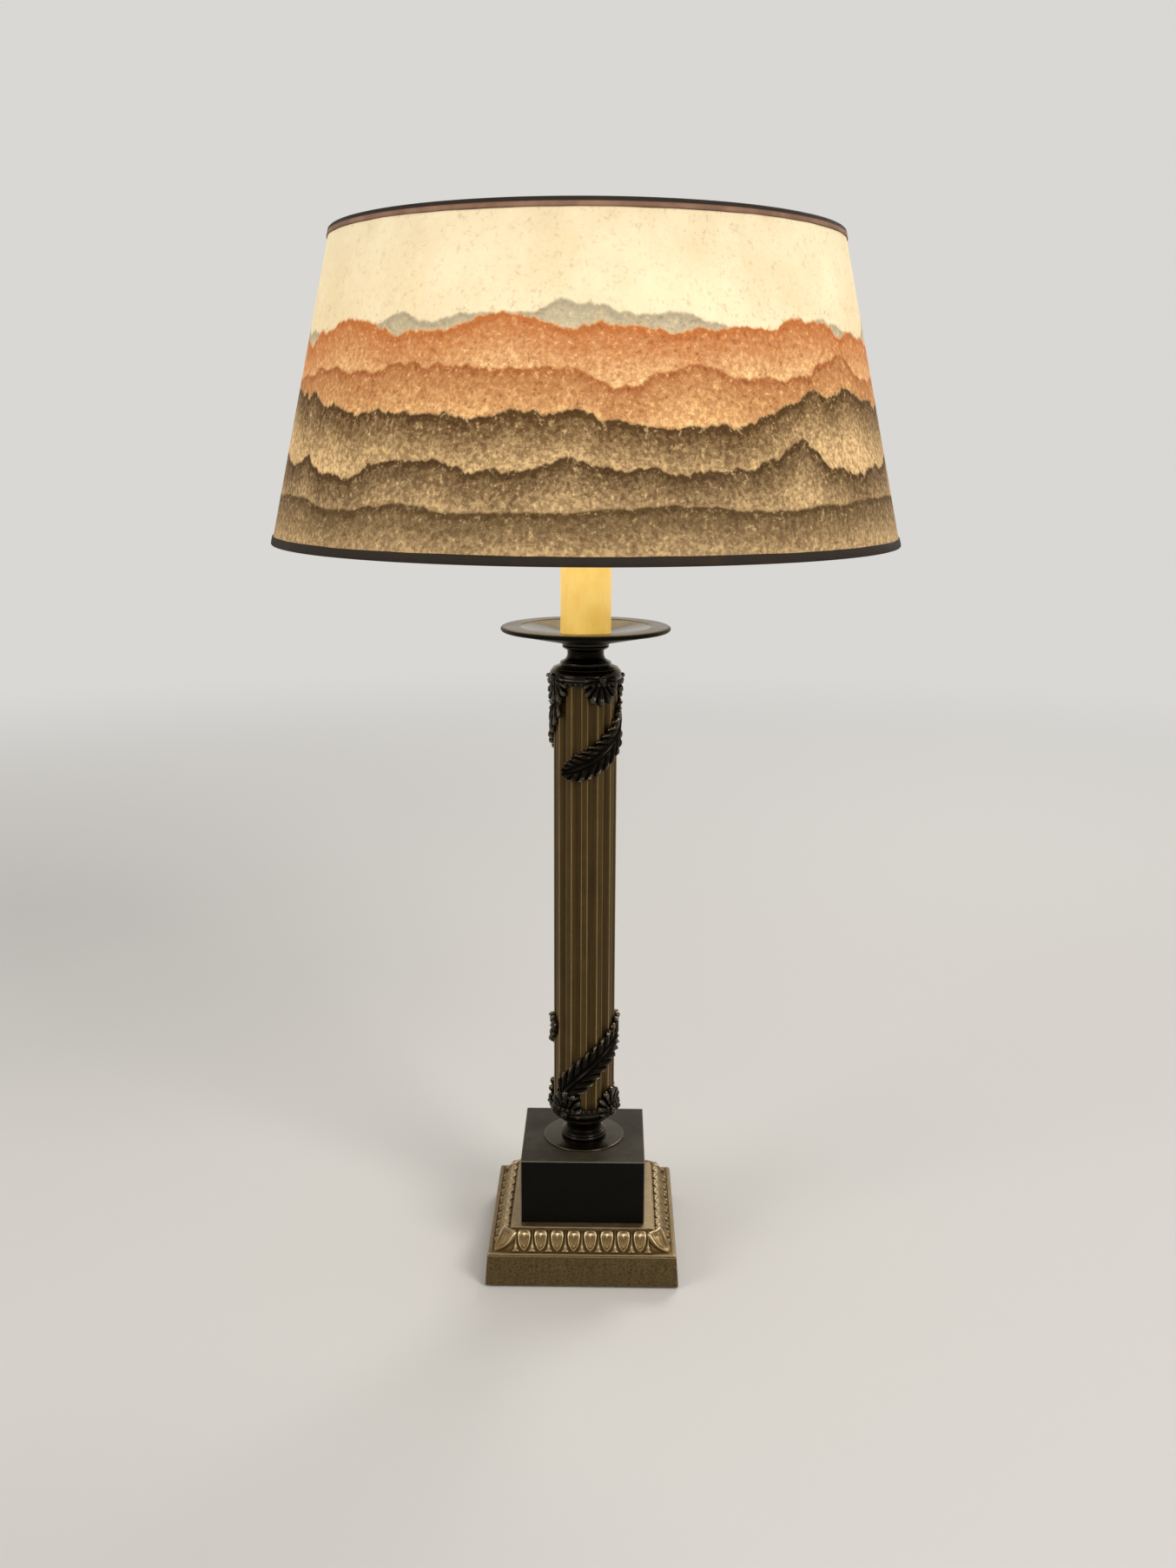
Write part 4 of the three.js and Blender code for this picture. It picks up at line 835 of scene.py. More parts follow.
def makeMoulding(size):
    outer, lip, ledge, rise = size["outer"], size["lipHeight"], size["ledgeHalf"], size["rise"]
    footX = size["slopeFoot"][0]
    headX, headZ = size["slopeHead"]
    outline = softened([(0, 0), (outer, 0, 0.3), (outer, lip, 0.5), (footX + 0.5, lip),
                        (footX + 0.2, lip - 0.6)])
    outline += [(x, z - 0.35) for x, z in slopeLine(size)[2:-2:2]]
    outline += softened([(headX, headZ - 0.2), (headX - 0.5, headZ), (ledge, headZ), (ledge, rise, 0.5),
                         (0, rise)])
    marks = []
    for x, z in outline:
        underLeaves = ledge + 0.8 < x < footX + 0.3 and lip - 0.9 < z < headZ - 0.1
        onEdge = (x > outer - 0.5 and z > 0.8) or (ledge - 0.5 < x < ledge + 0.1 and z > rise - 0.6)
        # the flat top round the block is marked lighter: painted light against the block's shadow
        litTop = (x < ledge and z > rise - 0.2) or abs(x - ledge) < 0.1
        marks.append(0.05 if underLeaves else 0.85 if onEdge else 0.74 if litTop else 0.42)
    outline = raised(outline, low("leaf_moulding"))
    verts, faces, values = squared(outline, size["edge"], size["edgeSteps"], marks)
    piece = addPiece("leafMoulding", verts, faces, antiqueGilt, values)
    shapes = {"Leaf": leafPatch(size, size["leafWidth"]), "Dart": dartPatch(size),
              "Corner": leafPatch(size, size["cornerWidth"], corner=True)}
    grow(piece, makeBorderTree(), {
        **shapes, "Pitch": size["pitch"] * mm, "Leaves": size["count"], "Finish": antiqueGilt})
    for shape in shapes.values():
        bpy.data.objects.remove(shape)
    piece.data.set_sharp_from_angle(angle=math.radians(50))
    settle(piece, "stand", "antique_gilt", "leaf_moulding")


makeMoulding(moulding)
print("moulding made")


# Pedestal block and the thin disc on it
block = {"half": 48.5, "height": 52.0, "edge": 0.7, "corner": 0.8, "cornerSteps": 6}


def makeBlock(size):
    tall, half = size["height"], size["half"]
    outline = softened([(0, 0), (half - 2, 0), (half, 0, 0.3), (half, 2), (half, tall - 2),
                        (half, tall, size["edge"]), (half - 2, tall), (0, tall)], 5)
    # the top edge is marked pale: worn paint, and partly a painted highlight along the edge
    marks = [0.98 if x > half - 0.62 and z > tall - 0.62 else plainMark for x, z in outline]
    outline = raised(outline, low("pedestal_block"))
    verts, faces, values = squared(outline, size["corner"], size["cornerSteps"], marks)
    piece = addPiece("pedestalBlock", verts, faces, satinBlack, values)
    settle(piece, "stand", "satin_black", "pedestal_block")


seatDisc = {"radius": 32.0, "thickness": 1.3, "bore": 5.6, "sides": 128}


def makeSeatDisc(size):
    radius, bore, tall = size["radius"], size["bore"], size["thickness"]
    outline = softened([(bore, 0), (radius, 0, 0.2), (radius, tall, 0.55), (bore, tall)])
    marks = [0.85 if x > radius - 0.5 else plainMark for x, z in outline]
    piece = turnedPiece("seatDisc", raised(outline, low("seat_disc")), size["sides"], blackBronze, marks)
    settle(piece, "stand", "black_bronze", "seat_disc")


makeBlock(block)
makeSeatDisc(seatDisc)
print("block and disc made")


# Half a turn about a level axis lays the lower collar and mount at the top of the column
flipAzimuth = 42.5


def flipped(verts):
    middle = (0, 0, (low("lower_collar") + high("upper_collar")) / 2)
    axis = np.array(around(flipAzimuth, 1.0))
    centred = np.asarray(verts, float) - middle
    return 2 * np.outer(centred @ axis, axis) - centred + middle


# Turned collar: a double bead, a hollow neck and a step under the cup
collar = {"ring": 18.0, "neck": 13.7, "step": 19.3, "height": 16.5, "bore": 5.6, "sides": 96}


def makeCollars(size):
    ring, neck, step, tall = size["ring"], size["neck"], size["step"], size["height"]
    outline = [(size["bore"], 0), (ring - 1.2, 0)]
    outline += bezier((ring - 1.2, 0), (ring + 0.4, 0), (ring + 0.4, 3.2), (ring - 1.0, 3.2), 10)[1:]
    outline += bezier((ring - 1.25, 3.4), (ring + 0.1, 3.4), (ring + 0.1, 5.3), (ring - 1.7, 5.4), 8)
    outline += bezier((ring - 2.1, 5.9), (neck, 6.4), (neck, 7.6), (neck, 9.6), 10)
    outline += bezier((neck, 9.6), (neck, 12.4), (neck + 1.6, 14.4), (step - 0.9, 15.3), 10)[1:]
    outline += [(step - 0.3, 15.6), (step, 16.0), (step, tall), (size["bore"], tall)]
    marks = [np.clip(0.24 + 0.42 * (x - neck) / (step - neck), 0.2, 0.7) for x, z in outline]
    verts, faces, values = turned(raised(outline, low("lower_collar")), size["sides"], marks)
    lower = addPiece("lowerCollar", verts, faces, blackBronze, values)
    upper = addPiece("upperCollar", flipped(verts), faces, blackBronze, values)
    settle(lower, "stand", "black_bronze", "lower_collar")
    settle(upper, "stand", "black_bronze", "upper_collar")


makeCollars(collar)
print("collars made")


# Leaf mounts: a cup with a beaded border, four palmettes, and two leaves that wind round the column
mount = {
    "bore": 24.5, "pipeHole": 5.6, "cupRadius": 27.7, "step": 19.3, "cupHeight": 14.3, "floor": 3.4,
    "cupSides": 120, "baseAzimuth": -33.0, "lead": 12.0, "sweep": 170.0, "rootHeight": 39.5, "climb": 57.5,
    "easing": 1.6, "halfWidth": 11.4, "lobes": 13, "slant": 0.13, "alongCells": 300, "acrossCells": 52,
    "thickest": 4.8, "palmetteHeight": 26.0, "palmetteReach": 20.5, "petals": 9, "spread": 100.0,
    "petalCells": 12, "palmetteRings": 22, "eyeSides": 24, "eyeMark": 0.68, "beads": 40,
    "beadSize": (1.25, 1.9), "beadSides": 10, "beadMark": 0.64,
}


# Brings a leaf's thickness down in a round edge, from a start to the rim at 1
def roundedEdge(out, start, least):
    return np.sqrt(np.clip(1 - (np.clip(out - start, 0, 1) / (1 - start)) ** 2, least, 1))


def windingLeaf(size, azimuth, foot):
    bore, climb, easing, slant, lobes = (size[key] for key in ("bore", "climb", "easing", "slant", "lobes"))
    row = np.linspace(0, 1, size["alongCells"] + 1)[:, None]
    side = np.sin(np.linspace(-1, 1, size["acrossCells"] + 1) * math.pi / 2)[None, :]
    out = np.abs(side)
    inMiddle = smooth(row, 0, 0.25) * (1 - smooth(row, 0.75, 1))
    u = row + slant * (out - 0.5) * inMiddle  # the rows of points slant with the lobes
    climbed = climb * (1 - (1 - u) ** easing)
    slope = np.arctan2(climb * easing * (1 - u) ** (easing - 1), math.radians(size["sweep"]) * bore)
    opening = 0.42 + 0.58 * smooth(u, 0, 0.11)
    tip = np.sqrt(np.clip(1 - 0.985 * np.clip((u - 0.72) / 0.28, 0, 1) ** 2, 0, 1))
    wide = tip * opening
    notch = 1 - np.abs(np.sin(math.pi * lobes * (u - slant))) ** 0.65
    offset = side * size["halfWidth"] * wide * (1 - 0.22 * notch * out ** 2)
    phase = lobes * (u - slant * out)
    within = phase - np.floor(phase)
    lobe = np.abs(np.sin(math.pi * phase)) ** 0.7
    away = smooth(out, 0.10, 0.45)
    rib = ridgeAt(side, 0, 0.07) * (1 - 0.5 * u)
    curl = smooth(out, 0.70, 0.86) * lobe ** 1.5
    lift = 1.35 + 0.9 * (1 - out ** 2) * wide
    lift += 0.95 * rib - 0.55 * ridgeAt(out, 0.17, 0.07)
    lift += 1.25 * (lobe - 0.45) * away * (0.5 + 0.5 * wide)
    lift += 0.25 * ridgeAt(within, 0.5, 0.09) * smooth(out, 0.15, 0.5)
    lift += 1.25 * curl  # the lobes' ends curl up
    lift += 0.6 * (within - 0.5) * away  # each lobe laps the next
    lift = np.clip(lift * roundedEdge(out, 0.90, 0.02), 0.25, size["thickest"])
    turn = np.degrees(offset * np.sin(slope) / bore)
    angle = np.radians(azimuth - size["lead"] + size["sweep"] * u - turn)
    height = foot + size["rootHeight"] + climbed + offset * np.cos(slope)
    front = wrapped(angle, bore + 0.2 + lift, height)
    back = wrapped(angle, np.full(lift.shape, bore + 0.2), height)
    # Lobes, rib and curled ends are marked bright: worn bronze, and also painted glints on the crests
    relief = np.clip(0.08 + 0.34 * lobe * away + 0.45 * rib + 0.5 * curl, 0, 1)
    verts, faces, values = slab(front, back, relief)
    return verts, reversedFaces(faces), values


def palmette(size, azimuth, foot):
    petals, bore = size["petals"], size["bore"]
    sweep = np.linspace(-1, 1, petals * size["petalCells"] + 1)[None, :]
    angle = np.radians(size["spread"]) * sweep
    out = np.linspace(0, 1, size["palmetteRings"] + 1)[:, None]
    phase = (sweep + 1) / 2 * petals
    within = phase - np.floor(np.minimum(phase, petals - 1e-6))
    petal = np.abs(np.sin(math.pi * phase)) ** 0.65
    reach = size["palmetteReach"] * (0.46 + 0.40 * np.clip(np.cos(angle), 0, 1) ** 1.3 + 0.14 * petal)
    distance = 1.2 + (reach - 1.2) * out
    grown = smooth(out, 0.12, 0.5)
    curl = smooth(out, 0.62, 0.88) * petal ** 1.5
    groove = 0.4 * ridgeAt(within, 0.5, 0.13) * smooth(out, 0.3, 0.6)
    lift = 1.2 + 0.6 * out + grown * (2.0 * (petal - 0.4) - groove) + 1.2 * curl
    lift = np.clip(lift * roundedEdge(out, 0.88, 0.03), 0.2, size["thickest"])
    spin = np.radians(azimuth) + distance * np.sin(angle) / bore
    height = foot + size["palmetteHeight"] + distance * np.cos(angle)
    inCup = smooth(height, foot + 31.5, foot + 28.5)  # over the cup the petals lie on its wall
    front = wrapped(spin, bore + 0.4 + inCup * 2.4 + lift * (1 - 0.35 * inCup), height)
    back = wrapped(spin, np.full(lift.shape, bore + 0.4), height)
    # petal crests and curled tips are marked bright: worn bronze, and also painted glints
    fan = slab(front, back, np.clip(0.08 + 0.36 * petal * grown + 0.36 * curl, 0, 1))
    eyeVerts, eyeFaces, _ = turned([(0, -1.5), (3.0, -1.5), (3.1, 0.1), (2.7, 0.9), (1.8, 1.1), (1.5, 0.8),
                                    (1.2, 1.3), (0.6, 1.6), (0, 1.7)], size["eyeSides"])
    spot = Vector(around(azimuth, size["cupRadius"] + 0.3, foot + size["palmetteHeight"]))
    facing = Vector(around(azimuth, 1)).to_track_quat("Z", "Y").to_matrix()
    eyeVerts = [tuple(spot + facing @ Vector(vert)) for vert in eyeVerts]
    return gathered(fan, (eyeVerts, eyeFaces, [size["eyeMark"]] * len(eyeVerts)))


def mountCup(size, foot):
    hole, step, wide, tall = size["pipeHole"], size["step"], size["cupRadius"], size["cupHeight"]
    outline = [(hole, 0), (step, 0), (step, 1.0)]
    outline += bezier((step, 1.2), (step + 4.4, 2.6), (wide - 0.3, 5.4), (wide - 0.3, 9.4), 18)[1:]
    outline += [(wide + 0.1, 9.6), (wide + 0.35, 9.9), (wide + 0.3, 10.3), (wide - 0.3, 10.6)]  # a ridge
    outline += [(wide - 0.4, tall - 0.8), (wide - 0.7, tall), (size["bore"], tall)]
    outline += [(size["bore"], size["floor"]), (hole, size["floor"])]
    marks = [0.85 if x > wide else 0.45 for x, z in outline]
    return turned(raised(outline, foot), size["cupSides"], marks)


def makeBeadTree():
    tree, given, out = newTree("cupBorder", [
        ("Bead", "Object"), ("Beads", "Int"), ("Radius", "Float"), ("Height", "Float"),
        ("Finish", "Material")])
    away = combined(tree, y=times(tree, given["Radius"], -1), z=given["Height"])
    bead = put(tree, "GeometryNodeTransform", {"Geometry": shapeOf(tree, given["Bead"]), "Translation": away})
    step = sums(tree, "DIVIDE", 2 * math.pi, given["Beads"])
    ring = ringOf(tree, bead.outputs[0], given["Beads"], step)
    closeTree(tree, out, joined(tree, ring, given["Geometry"]), given["Finish"])
    return tree


def makeMounts(size):
    foot, seat = low("lower_leaf_mount"), low("lower_collar")
    parts = [mountCup(size, foot)]
    parts += [palmette(size, size["baseAzimuth"] + 90 * k, seat) for k in range(4)]
    parts += [windingLeaf(size, size["baseAzimuth"] + 180 * k, seat) for k in range(2)]
    verts, faces, values = gathered(*parts)
    lower = addPiece("lowerLeafMount", verts, faces, blackBronze, values)
    wide, tall = size["beadSize"]
    drop = [(wide * math.sin(a) ** 0.8, -tall * math.cos(a)) for a in np.linspace(0.4, 2.9, 7)]
    verts, faces, values = turned([(0, -tall), *drop, (0, tall)], size["beadSides"])
    bead = addPiece("cupBead", verts, faces, blackBronze, [size["beadMark"]] * len(verts))
    grow(lower, makeBeadTree(), {
        "Bead": bead, "Beads": size["beads"], "Radius": (size["cupRadius"] - 0.5) * mm,
        "Height": (foot + size["cupHeight"] - 1.0) * mm, "Finish": blackBronze})
    bpy.data.objects.remove(bead)
    upper = lower.copy()
    upper.data = lower.data.copy()
    upper.name = upper.data.name = "upperLeafMount"
    scene.collection.objects.link(upper)
    spots = np.empty(len(upper.data.vertices) * 3)
    upper.data.vertices.foreach_get("co", spots)
    upper.data.vertices.foreach_set("co", (flipped(spots.reshape(-1, 3) / mm) * mm).ravel())
    upper.data.update()
    for piece, node in ((lower, "lower_leaf_mount"), (upper, "upper_leaf_mount")):
        piece.data.set_sharp_from_angle(angle=math.radians(48))
        settle(piece, "stand", "black_bronze", node)


makeMounts(mount)
print("leaf mounts made")


# Fluted column, drawn by nodes: a grid wrapped round Z whose radius follows the flutes
shaft = {
    "radius": 24.0, "bore": 18.0, "flutes": 12, "filletShare": 0.38, "depth": 2.1, "cellsPerFlute": 36,
    "rows": 24,
}


def makeShaftTree():
    tree, given, out = newTree("flutedShaft", [
        ("Radius", "Float"), ("Depth", "Float"), ("Flutes", "Int"), ("Fillet Share", "Float"),
        ("Foot", "Float"), ("Length", "Float"), ("Cells", "Int"), ("Rows", "Int"), ("Finish", "Material")])
    grid = put(tree, "GeometryNodeMeshGrid", {
        "Size X": 1.0, "Size Y": 1.0, "Vertices X": given["Cells"], "Vertices Y": given["Rows"]})
    spot = parted(tree, put(tree, "GeometryNodeInputPosition").outputs[0])
    share = plus(tree, spot["X"], 0.5)
    angle = times(tree, share, 2 * math.pi)
    cycle = sums(tree, "FRACT", times(tree, share, given["Flutes"]))
    fromMiddle = sums(tree, "ABSOLUTE", minus(tree, times(tree, cycle, 2.0), 1.0))
    openShare = minus(tree, 1.0, given["Fillet Share"])
    inFlute = sums(tree, "DIVIDE", fromMiddle, openShare)
    bowl = minus(tree, 1.0, sums(tree, "POWER", sums(tree, "MINIMUM", inFlute, 1.0), 2.0))
    hollow = sums(tree, "POWER", sums(tree, "MAXIMUM", bowl, 0.0), 0.72)
    radius = minus(tree, given["Radius"], times(tree, hollow, given["Depth"]))
    x = times(tree, radius, sums(tree, "SINE", angle))
    y = times(tree, times(tree, radius, sums(tree, "COSINE", angle)), -1.0)
    z = plus(tree, given["Foot"], times(tree, plus(tree, spot["Y"], 0.5), given["Length"]))
    # The arrises are marked bright, partly as rubbed gilt and partly as a painted highlight; the flute
    # hollows are marked darker as painted shade
    fromArris = sums(tree, "ABSOLUTE", minus(tree, fromMiddle, openShare))
    rubbedAndHighlit = ramp(tree, fromArris, 0.10, 0.025, 0.0, 0.46)
    shadedFlute = minus(tree, 0.50, times(tree, hollow, 0.30))
    marked = put(tree, "GeometryNodeStoreNamedAttribute", {"Geometry": grid.outputs[0], "Name": "relief"},
                 data_type="FLOAT", domain="POINT")
    value = next(socket for socket in marked.inputs if socket.name == "Value" and socket.enabled)
    feed(tree, value, plus(tree, shadedFlute, rubbedAndHighlit))
    bent = put(tree, "GeometryNodeSetPosition", {
        "Geometry": marked.outputs[0], "Position": combined(tree, x, y, z)})
    welded = put(tree, "GeometryNodeMergeByDistance", {"Geometry": bent.outputs[0], "Distance": 0.02 * mm})
    closeTree(tree, out, welded.outputs[0], given["Finish"])
    return tree


def makeShaft(size):
    piece = addPiece("flutedShaft", [(0, 0, 0)], [], columnGilt)
    foot, top = low("column_shaft"), high("column_shaft")
    grow(piece, makeShaftTree(), {
        "Radius": size["radius"] * mm, "Depth": size["depth"] * mm, "Flutes": size["flutes"],
        "Fillet Share": size["filletShare"], "Foot": foot * mm, "Length": (top - foot) * mm,
        "Cells": size["flutes"] * size["cellsPerFlute"] + 1, "Rows": size["rows"], "Finish": columnGilt})
    whole = bmesh.new()
    whole.from_mesh(piece.data)
    for level in (foot, top):  # both ends close in to the bore
        ends = [edge for edge in whole.edges if edge.is_boundary]
        ends = [edge for edge in ends if abs(edge.verts[0].co.z - level * mm) < 0.01 * mm]
        rim = bmesh.ops.extrude_edge_only(whole, edges=ends)["geom"]
        for vert in (part for part in rim if isinstance(part, bmesh.types.BMVert)):
            vert.co.xy = vert.co.xy.normalized() * size["bore"] * mm
    bmesh.ops.bridge_loops(whole, edges=[edge for edge in whole.edges if edge.is_boundary])
    bmesh.ops.recalc_face_normals(whole, faces=whole.faces)
    whole.to_mesh(piece.data)
    whole.free()
    piece.data.set_sharp_from_angle(angle=math.radians(30))
    settle(piece, "stand", "column_gilt", "column_shaft")


makeShaft(shaft)
print("column made")


# Drip pan and candle sleeve
dripPan = {
    "radius": 63.7, "foot": 26.0, "height": 11.0, "rim": 3.9, "well": 49.0, "floor": 5.5, "floorRadius": 20.4,
    "bore": 5.6, "sides": 160,
}


def makeDripPan(size):
    rim, tall, well, bore = size["radius"], size["height"], size["well"], size["bore"]
    lipFoot = tall - size["rim"]
    lip = bezier((rim - 2.8, lipFoot), (rim + 0.93, lipFoot), (rim + 0.93, tall), (rim - 2.8, tall), 12)
    outside = softened([(bore, 0), (size["foot"], 0, 1.2), lip[0]], 6) + lip[1:-1]
    hollow = softened([lip[-1], (well + 0.6, tall - 0.1, 0.8), (well - 1.0, tall - 0.9, 0.8),
                       (size["floorRadius"], size["floor"], 3.0), (bore, size["floor"])], 6)
    marks = [0.18 + 0.26 * smooth(z, tall - 0.8, tall) for x, z in outside]
    marks += [0.44 + 0.2 * smooth(-x, -well - 0.6, -well + 1.0) for x, z in hollow]
    outline = raised(outside + hollow, low("bobeche"))
    piece = turnedPiece("dripPan", outline, size["sides"], panBronze, marks)
    settle(piece, "stand", "black_bronze", "bobeche")


candle = {"radius": 19.0, "wall": 1.2, "edge": 0.5, "sides": 96}


def makeGlowingCandleCream():
    material, tree, shader = newMaterial("glowingCandleCream")
    cloud = noise(tree, stretched(tree, objectSpot(tree), (1, 1, 0.5)), 90.0, 5.0, 0.6)
    pale = ramp(tree, cloud, 0.3, 0.7)
    streak = place(tree, longStreaks, {"Across": 260.0, "Along": 14.0})["Mask"]
    color = mixed(tree, pale, (0.82, 0.60, 0.19, 1), (0.92, 0.72, 0.28, 1))
    # The emission is painted light: the sleeve glows as if lit by the bulb above, though it is no lamp
    dress(tree, shader, {
        "Base Color": mixed(tree, ramp(tree, streak, 0.45, 0.75, 0.0, 0.12), color, (0.86, 0.60, 0.20, 1)),
        "Roughness": ramp(tree, cloud, 0.3, 0.7, 0.36, 0.5),
        "Emission Color": mixed(tree, pale, (0.70, 0.43, 0.075, 1), (0.78, 0.50, 0.10, 1)),
        "Emission Strength": 0.55})
    bump(tree, shader, cloud, 0.04)
    return material


def makeCandle(size):
    foot, top = low("candle_sleeve"), high("candle_sleeve")
    radius, inner = size["radius"], size["radius"] - size["wall"]
    outline = softened([(inner, foot), (radius, foot, 0.3), (radius, top, size["edge"]), (inner, top, 0.4)])
    piece = turnedPiece("candleSleeve", outline, size["sides"], makeGlowingCandleCream())
    settle(piece, "stand", "candle_cream", "candle_sleeve")


sleeveCap = {"radius": 19.0, "thickness": 1.6, "spigot": 17.5, "spigotWall": 2.0, "bore": 5.5, "sides": 96}


def makeSleeveCap(size):
    top, spigotFoot = high("sleeve_cap"), low("sleeve_cap")
    foot = top - size["thickness"]
    radius, spigot, bore = size["radius"], size["spigot"], size["bore"]
    inner = spigot - size["spigotWall"]
    outline = softened([(bore, foot), (inner, foot), (inner, spigotFoot), (spigot, spigotFoot),
                        (spigot, foot), (radius, foot, 0.2), (radius, top, 0.7), (bore, top)])
    settle(turnedPiece("sleeveCap", outline, size["sides"], lampBrass), "stand", "socket_brass", "sleeve_cap")


makeDripPan(dripPan)
makeCandle(candle)
makeSleeveCap(sleeveCap)
print("pan and candle made")


# Harp: wire with a boss, bent strip saddle, two ferrules and a threaded stud
harp = {
    "legHalf": 30.0, "wire": 2.2, "wireSides": 16, "belly": 57.0, "bellyRise": 105.0, "legFoot": 20.1,
    "legTop": 44.1, "crown": 173.4, "bossRadius": 6.2, "bossFoot": 170.9, "bossTop": 175.9, "bossBore": 2.9,
    "bossSides": 48,
}


def makeHarp(size):
    base, leg, belly, crown = low("harp_saddle"), size["legHalf"], size["belly"], size["crown"]
    legFoot, legTop, bellyRise = size["legFoot"], size["legTop"], size["bellyRise"]
    rise, arch = (bellyRise - legTop) / 2, (crown - bellyRise) / 2
    half = [(leg, legFoot), (leg, (legFoot + legTop) / 2)]
    half += bezier((leg, legTop), (leg, legTop + rise), (belly, bellyRise - rise), (belly, bellyRise), 22)
    half += bezier((belly, bellyRise), (belly, bellyRise + arch), (belly * 2 / 3, crown), (0, crown), 30)[1:]
    route = [(-x, 0, z + base) for x, z in half] + [(x, 0, z + base) for x, z in half[-2::-1]]
    boss = softened([(size["bossBore"], size["bossFoot"]), (size["bossRadius"], size["bossFoot"], 0.8),
                     (size["bossRadius"], size["bossTop"], 0.8), (size["bossBore"], size["bossTop"])])
    wire = wireAlong(route, size["wire"], size["wireSides"])
    verts, faces, values = gathered(wire, turned(raised(boss, base), size["bossSides"]))
    settle(addPiece("harpWire", verts, faces, lampBrass, values), "stand", "socket_brass", "harp_wire")


ferrule = {"bore": 2.5, "wall": 1.4, "height": 14.0, "sides": 40}


def makeFerrule(size, side, name, node, body):
    bore, wall, tall = size["bore"], size["bore"] + size["wall"], size["height"]
    outline = softened([(bore, 0), (wall - 0.2, 0, 0.4), (wall - 0.2, 1.6), (wall, 2.0), (wall, tall - 3.4),
                        (wall - 0.5, tall - 3.0), (wall - 0.5, tall - 2.4), (wall, tall - 2.0),
                        (wall, tall, 0.6), (bore, tall)])
    verts, faces, values = turned(raised(outline, low(node)), size["sides"])
    verts = [(x + side * harp["legHalf"], y, z) for x, y, z in verts]
    settle(addPiece(name, verts, faces, lampBrass, values), body, "socket_brass", node)


saddle = {
    "strip": 2.4, "width": 12.0, "bend": 5.0, "shoulder": 12.0, "postHeight": 8.0, "postWidth": 3.0,
    "hole": 5.45, "holeSides": 40,
}


def makeSaddle(size):
    base, leg, strip = low("harp_saddle"), harp["legHalf"], size["strip"]
    top, half, post = size["shoulder"], size["width"] / 2, size["postWidth"] / 2
    lines = []
    for depth in (0, strip):  # the outer and the inner face of the strip
        reach, bend = leg + strip / 2 - depth, size["bend"] - depth
        line = softened([(-reach, top), (-reach, depth, bend), (reach, depth, bend), (reach, top)], 8)
        lines.append(raised(line, base))
    count = len(lines[0])
    verts = [(x, y, z) for y in (-half, half) for line in lines for x, z in line]
    faces = []
    for i in range(count - 1):
        a, b, c, d = i, count + i, 2 * count + i, 3 * count + i
        faces += [(a, a + 1, b + 1, b), (c, d, d + 1, c + 1), (a, c, c + 1, a + 1), (b, b + 1, d + 1, d)]
    last = count - 1
    faces.append((0, count, 3 * count, 2 * count))
    faces.append((2 * count + last, 3 * count + last, count + last, last))
    parts = [(verts, faces, [plainMark] * len(verts))]
    for side in (-1, 1):
        left, right = side * leg - strip / 2, side * leg + strip / 2
        levels = (top - 1 + base, top + size["postHeight"] + base)
        plan = ((left, -post), (right, -post), (right, post), (left, post))
        box = [(x, y, z) for z in levels for x, y in plan]
        walls = [(3, 2, 1, 0), (4, 5, 6, 7)] + [(k, (k + 1) % 4, 4 + (k + 1) % 4, 4 + k) for k in range(4)]
        parts.append((box, walls, [plainMark] * len(box)))
    verts, faces, values = gathered(*parts)
    piece = addPiece("harpSaddle", verts, faces, lampBrass, values, 30)
    drill(piece, size["hole"], base - 3, base + 6, size["holeSides"])
    shadeSmooth(piece.data, 30)
    settle(piece, "stand", "socket_brass", "harp_saddle")


stud = {
    "shank": 2.6, "head": 3.8, "headHeight": 1.2, "shoulder": 7.5, "shoulderHeight": 2.0, "thread": 3.175,
    "pitch": 0.95, "threadDepth": 0.45, "length": 15.0, "sides": 48, "threadSides": 32, "stepsPerTurn": 6,
}


def makeStud(size):
    foot, top = low("harp_stud"), high("harp_stud")
    seat = top - size["length"]
    headTop, shoulderFoot = foot + size["headHeight"], seat - size["shoulderHeight"]
    body = turned(softened([
        (0, foot), (size["head"], foot, 0.5), (size["head"], headTop), (size["shank"], headTop),
        (size["shank"], shoulderFoot), (size["shoulder"], shoulderFoot, 0.5), (size["shoulder"], seat, 0.5),
        (size["thread"] - 0.4, seat), (0, seat)]), size["sides"])
    threadVerts, rings = threaded(size["thread"], size["threadDepth"], size["pitch"], seat - 0.2, top,
                                  size["threadSides"], size["stepsPerTurn"])
    thread = (threadVerts, cappedLoft(rings), [plainMark] * len(threadVerts))
    verts, faces, values = gathered(body, thread)
    settle(addPiece("harpStud", verts, faces, lampBrass, values), "stand", "socket_brass", "harp_stud")


makeHarp(harp)
makeSaddle(saddle)
makeFerrule(ferrule, -1, "leftFerrule", "left_ferrule", "left_lock")
makeFerrule(ferrule, 1, "rightFerrule", "right_ferrule", "right_lock")
makeStud(stud)
print("harp made")


# Turn-key socket
socket = {
    "radius": 16.5, "wall": 0.8, "hub": 8.0, "hubHeight": 4.0, "bore": 5.45, "keyHole": 3.3, "sides": 72,
    "holeSides": 32, "drillRun": (5, 30),
}


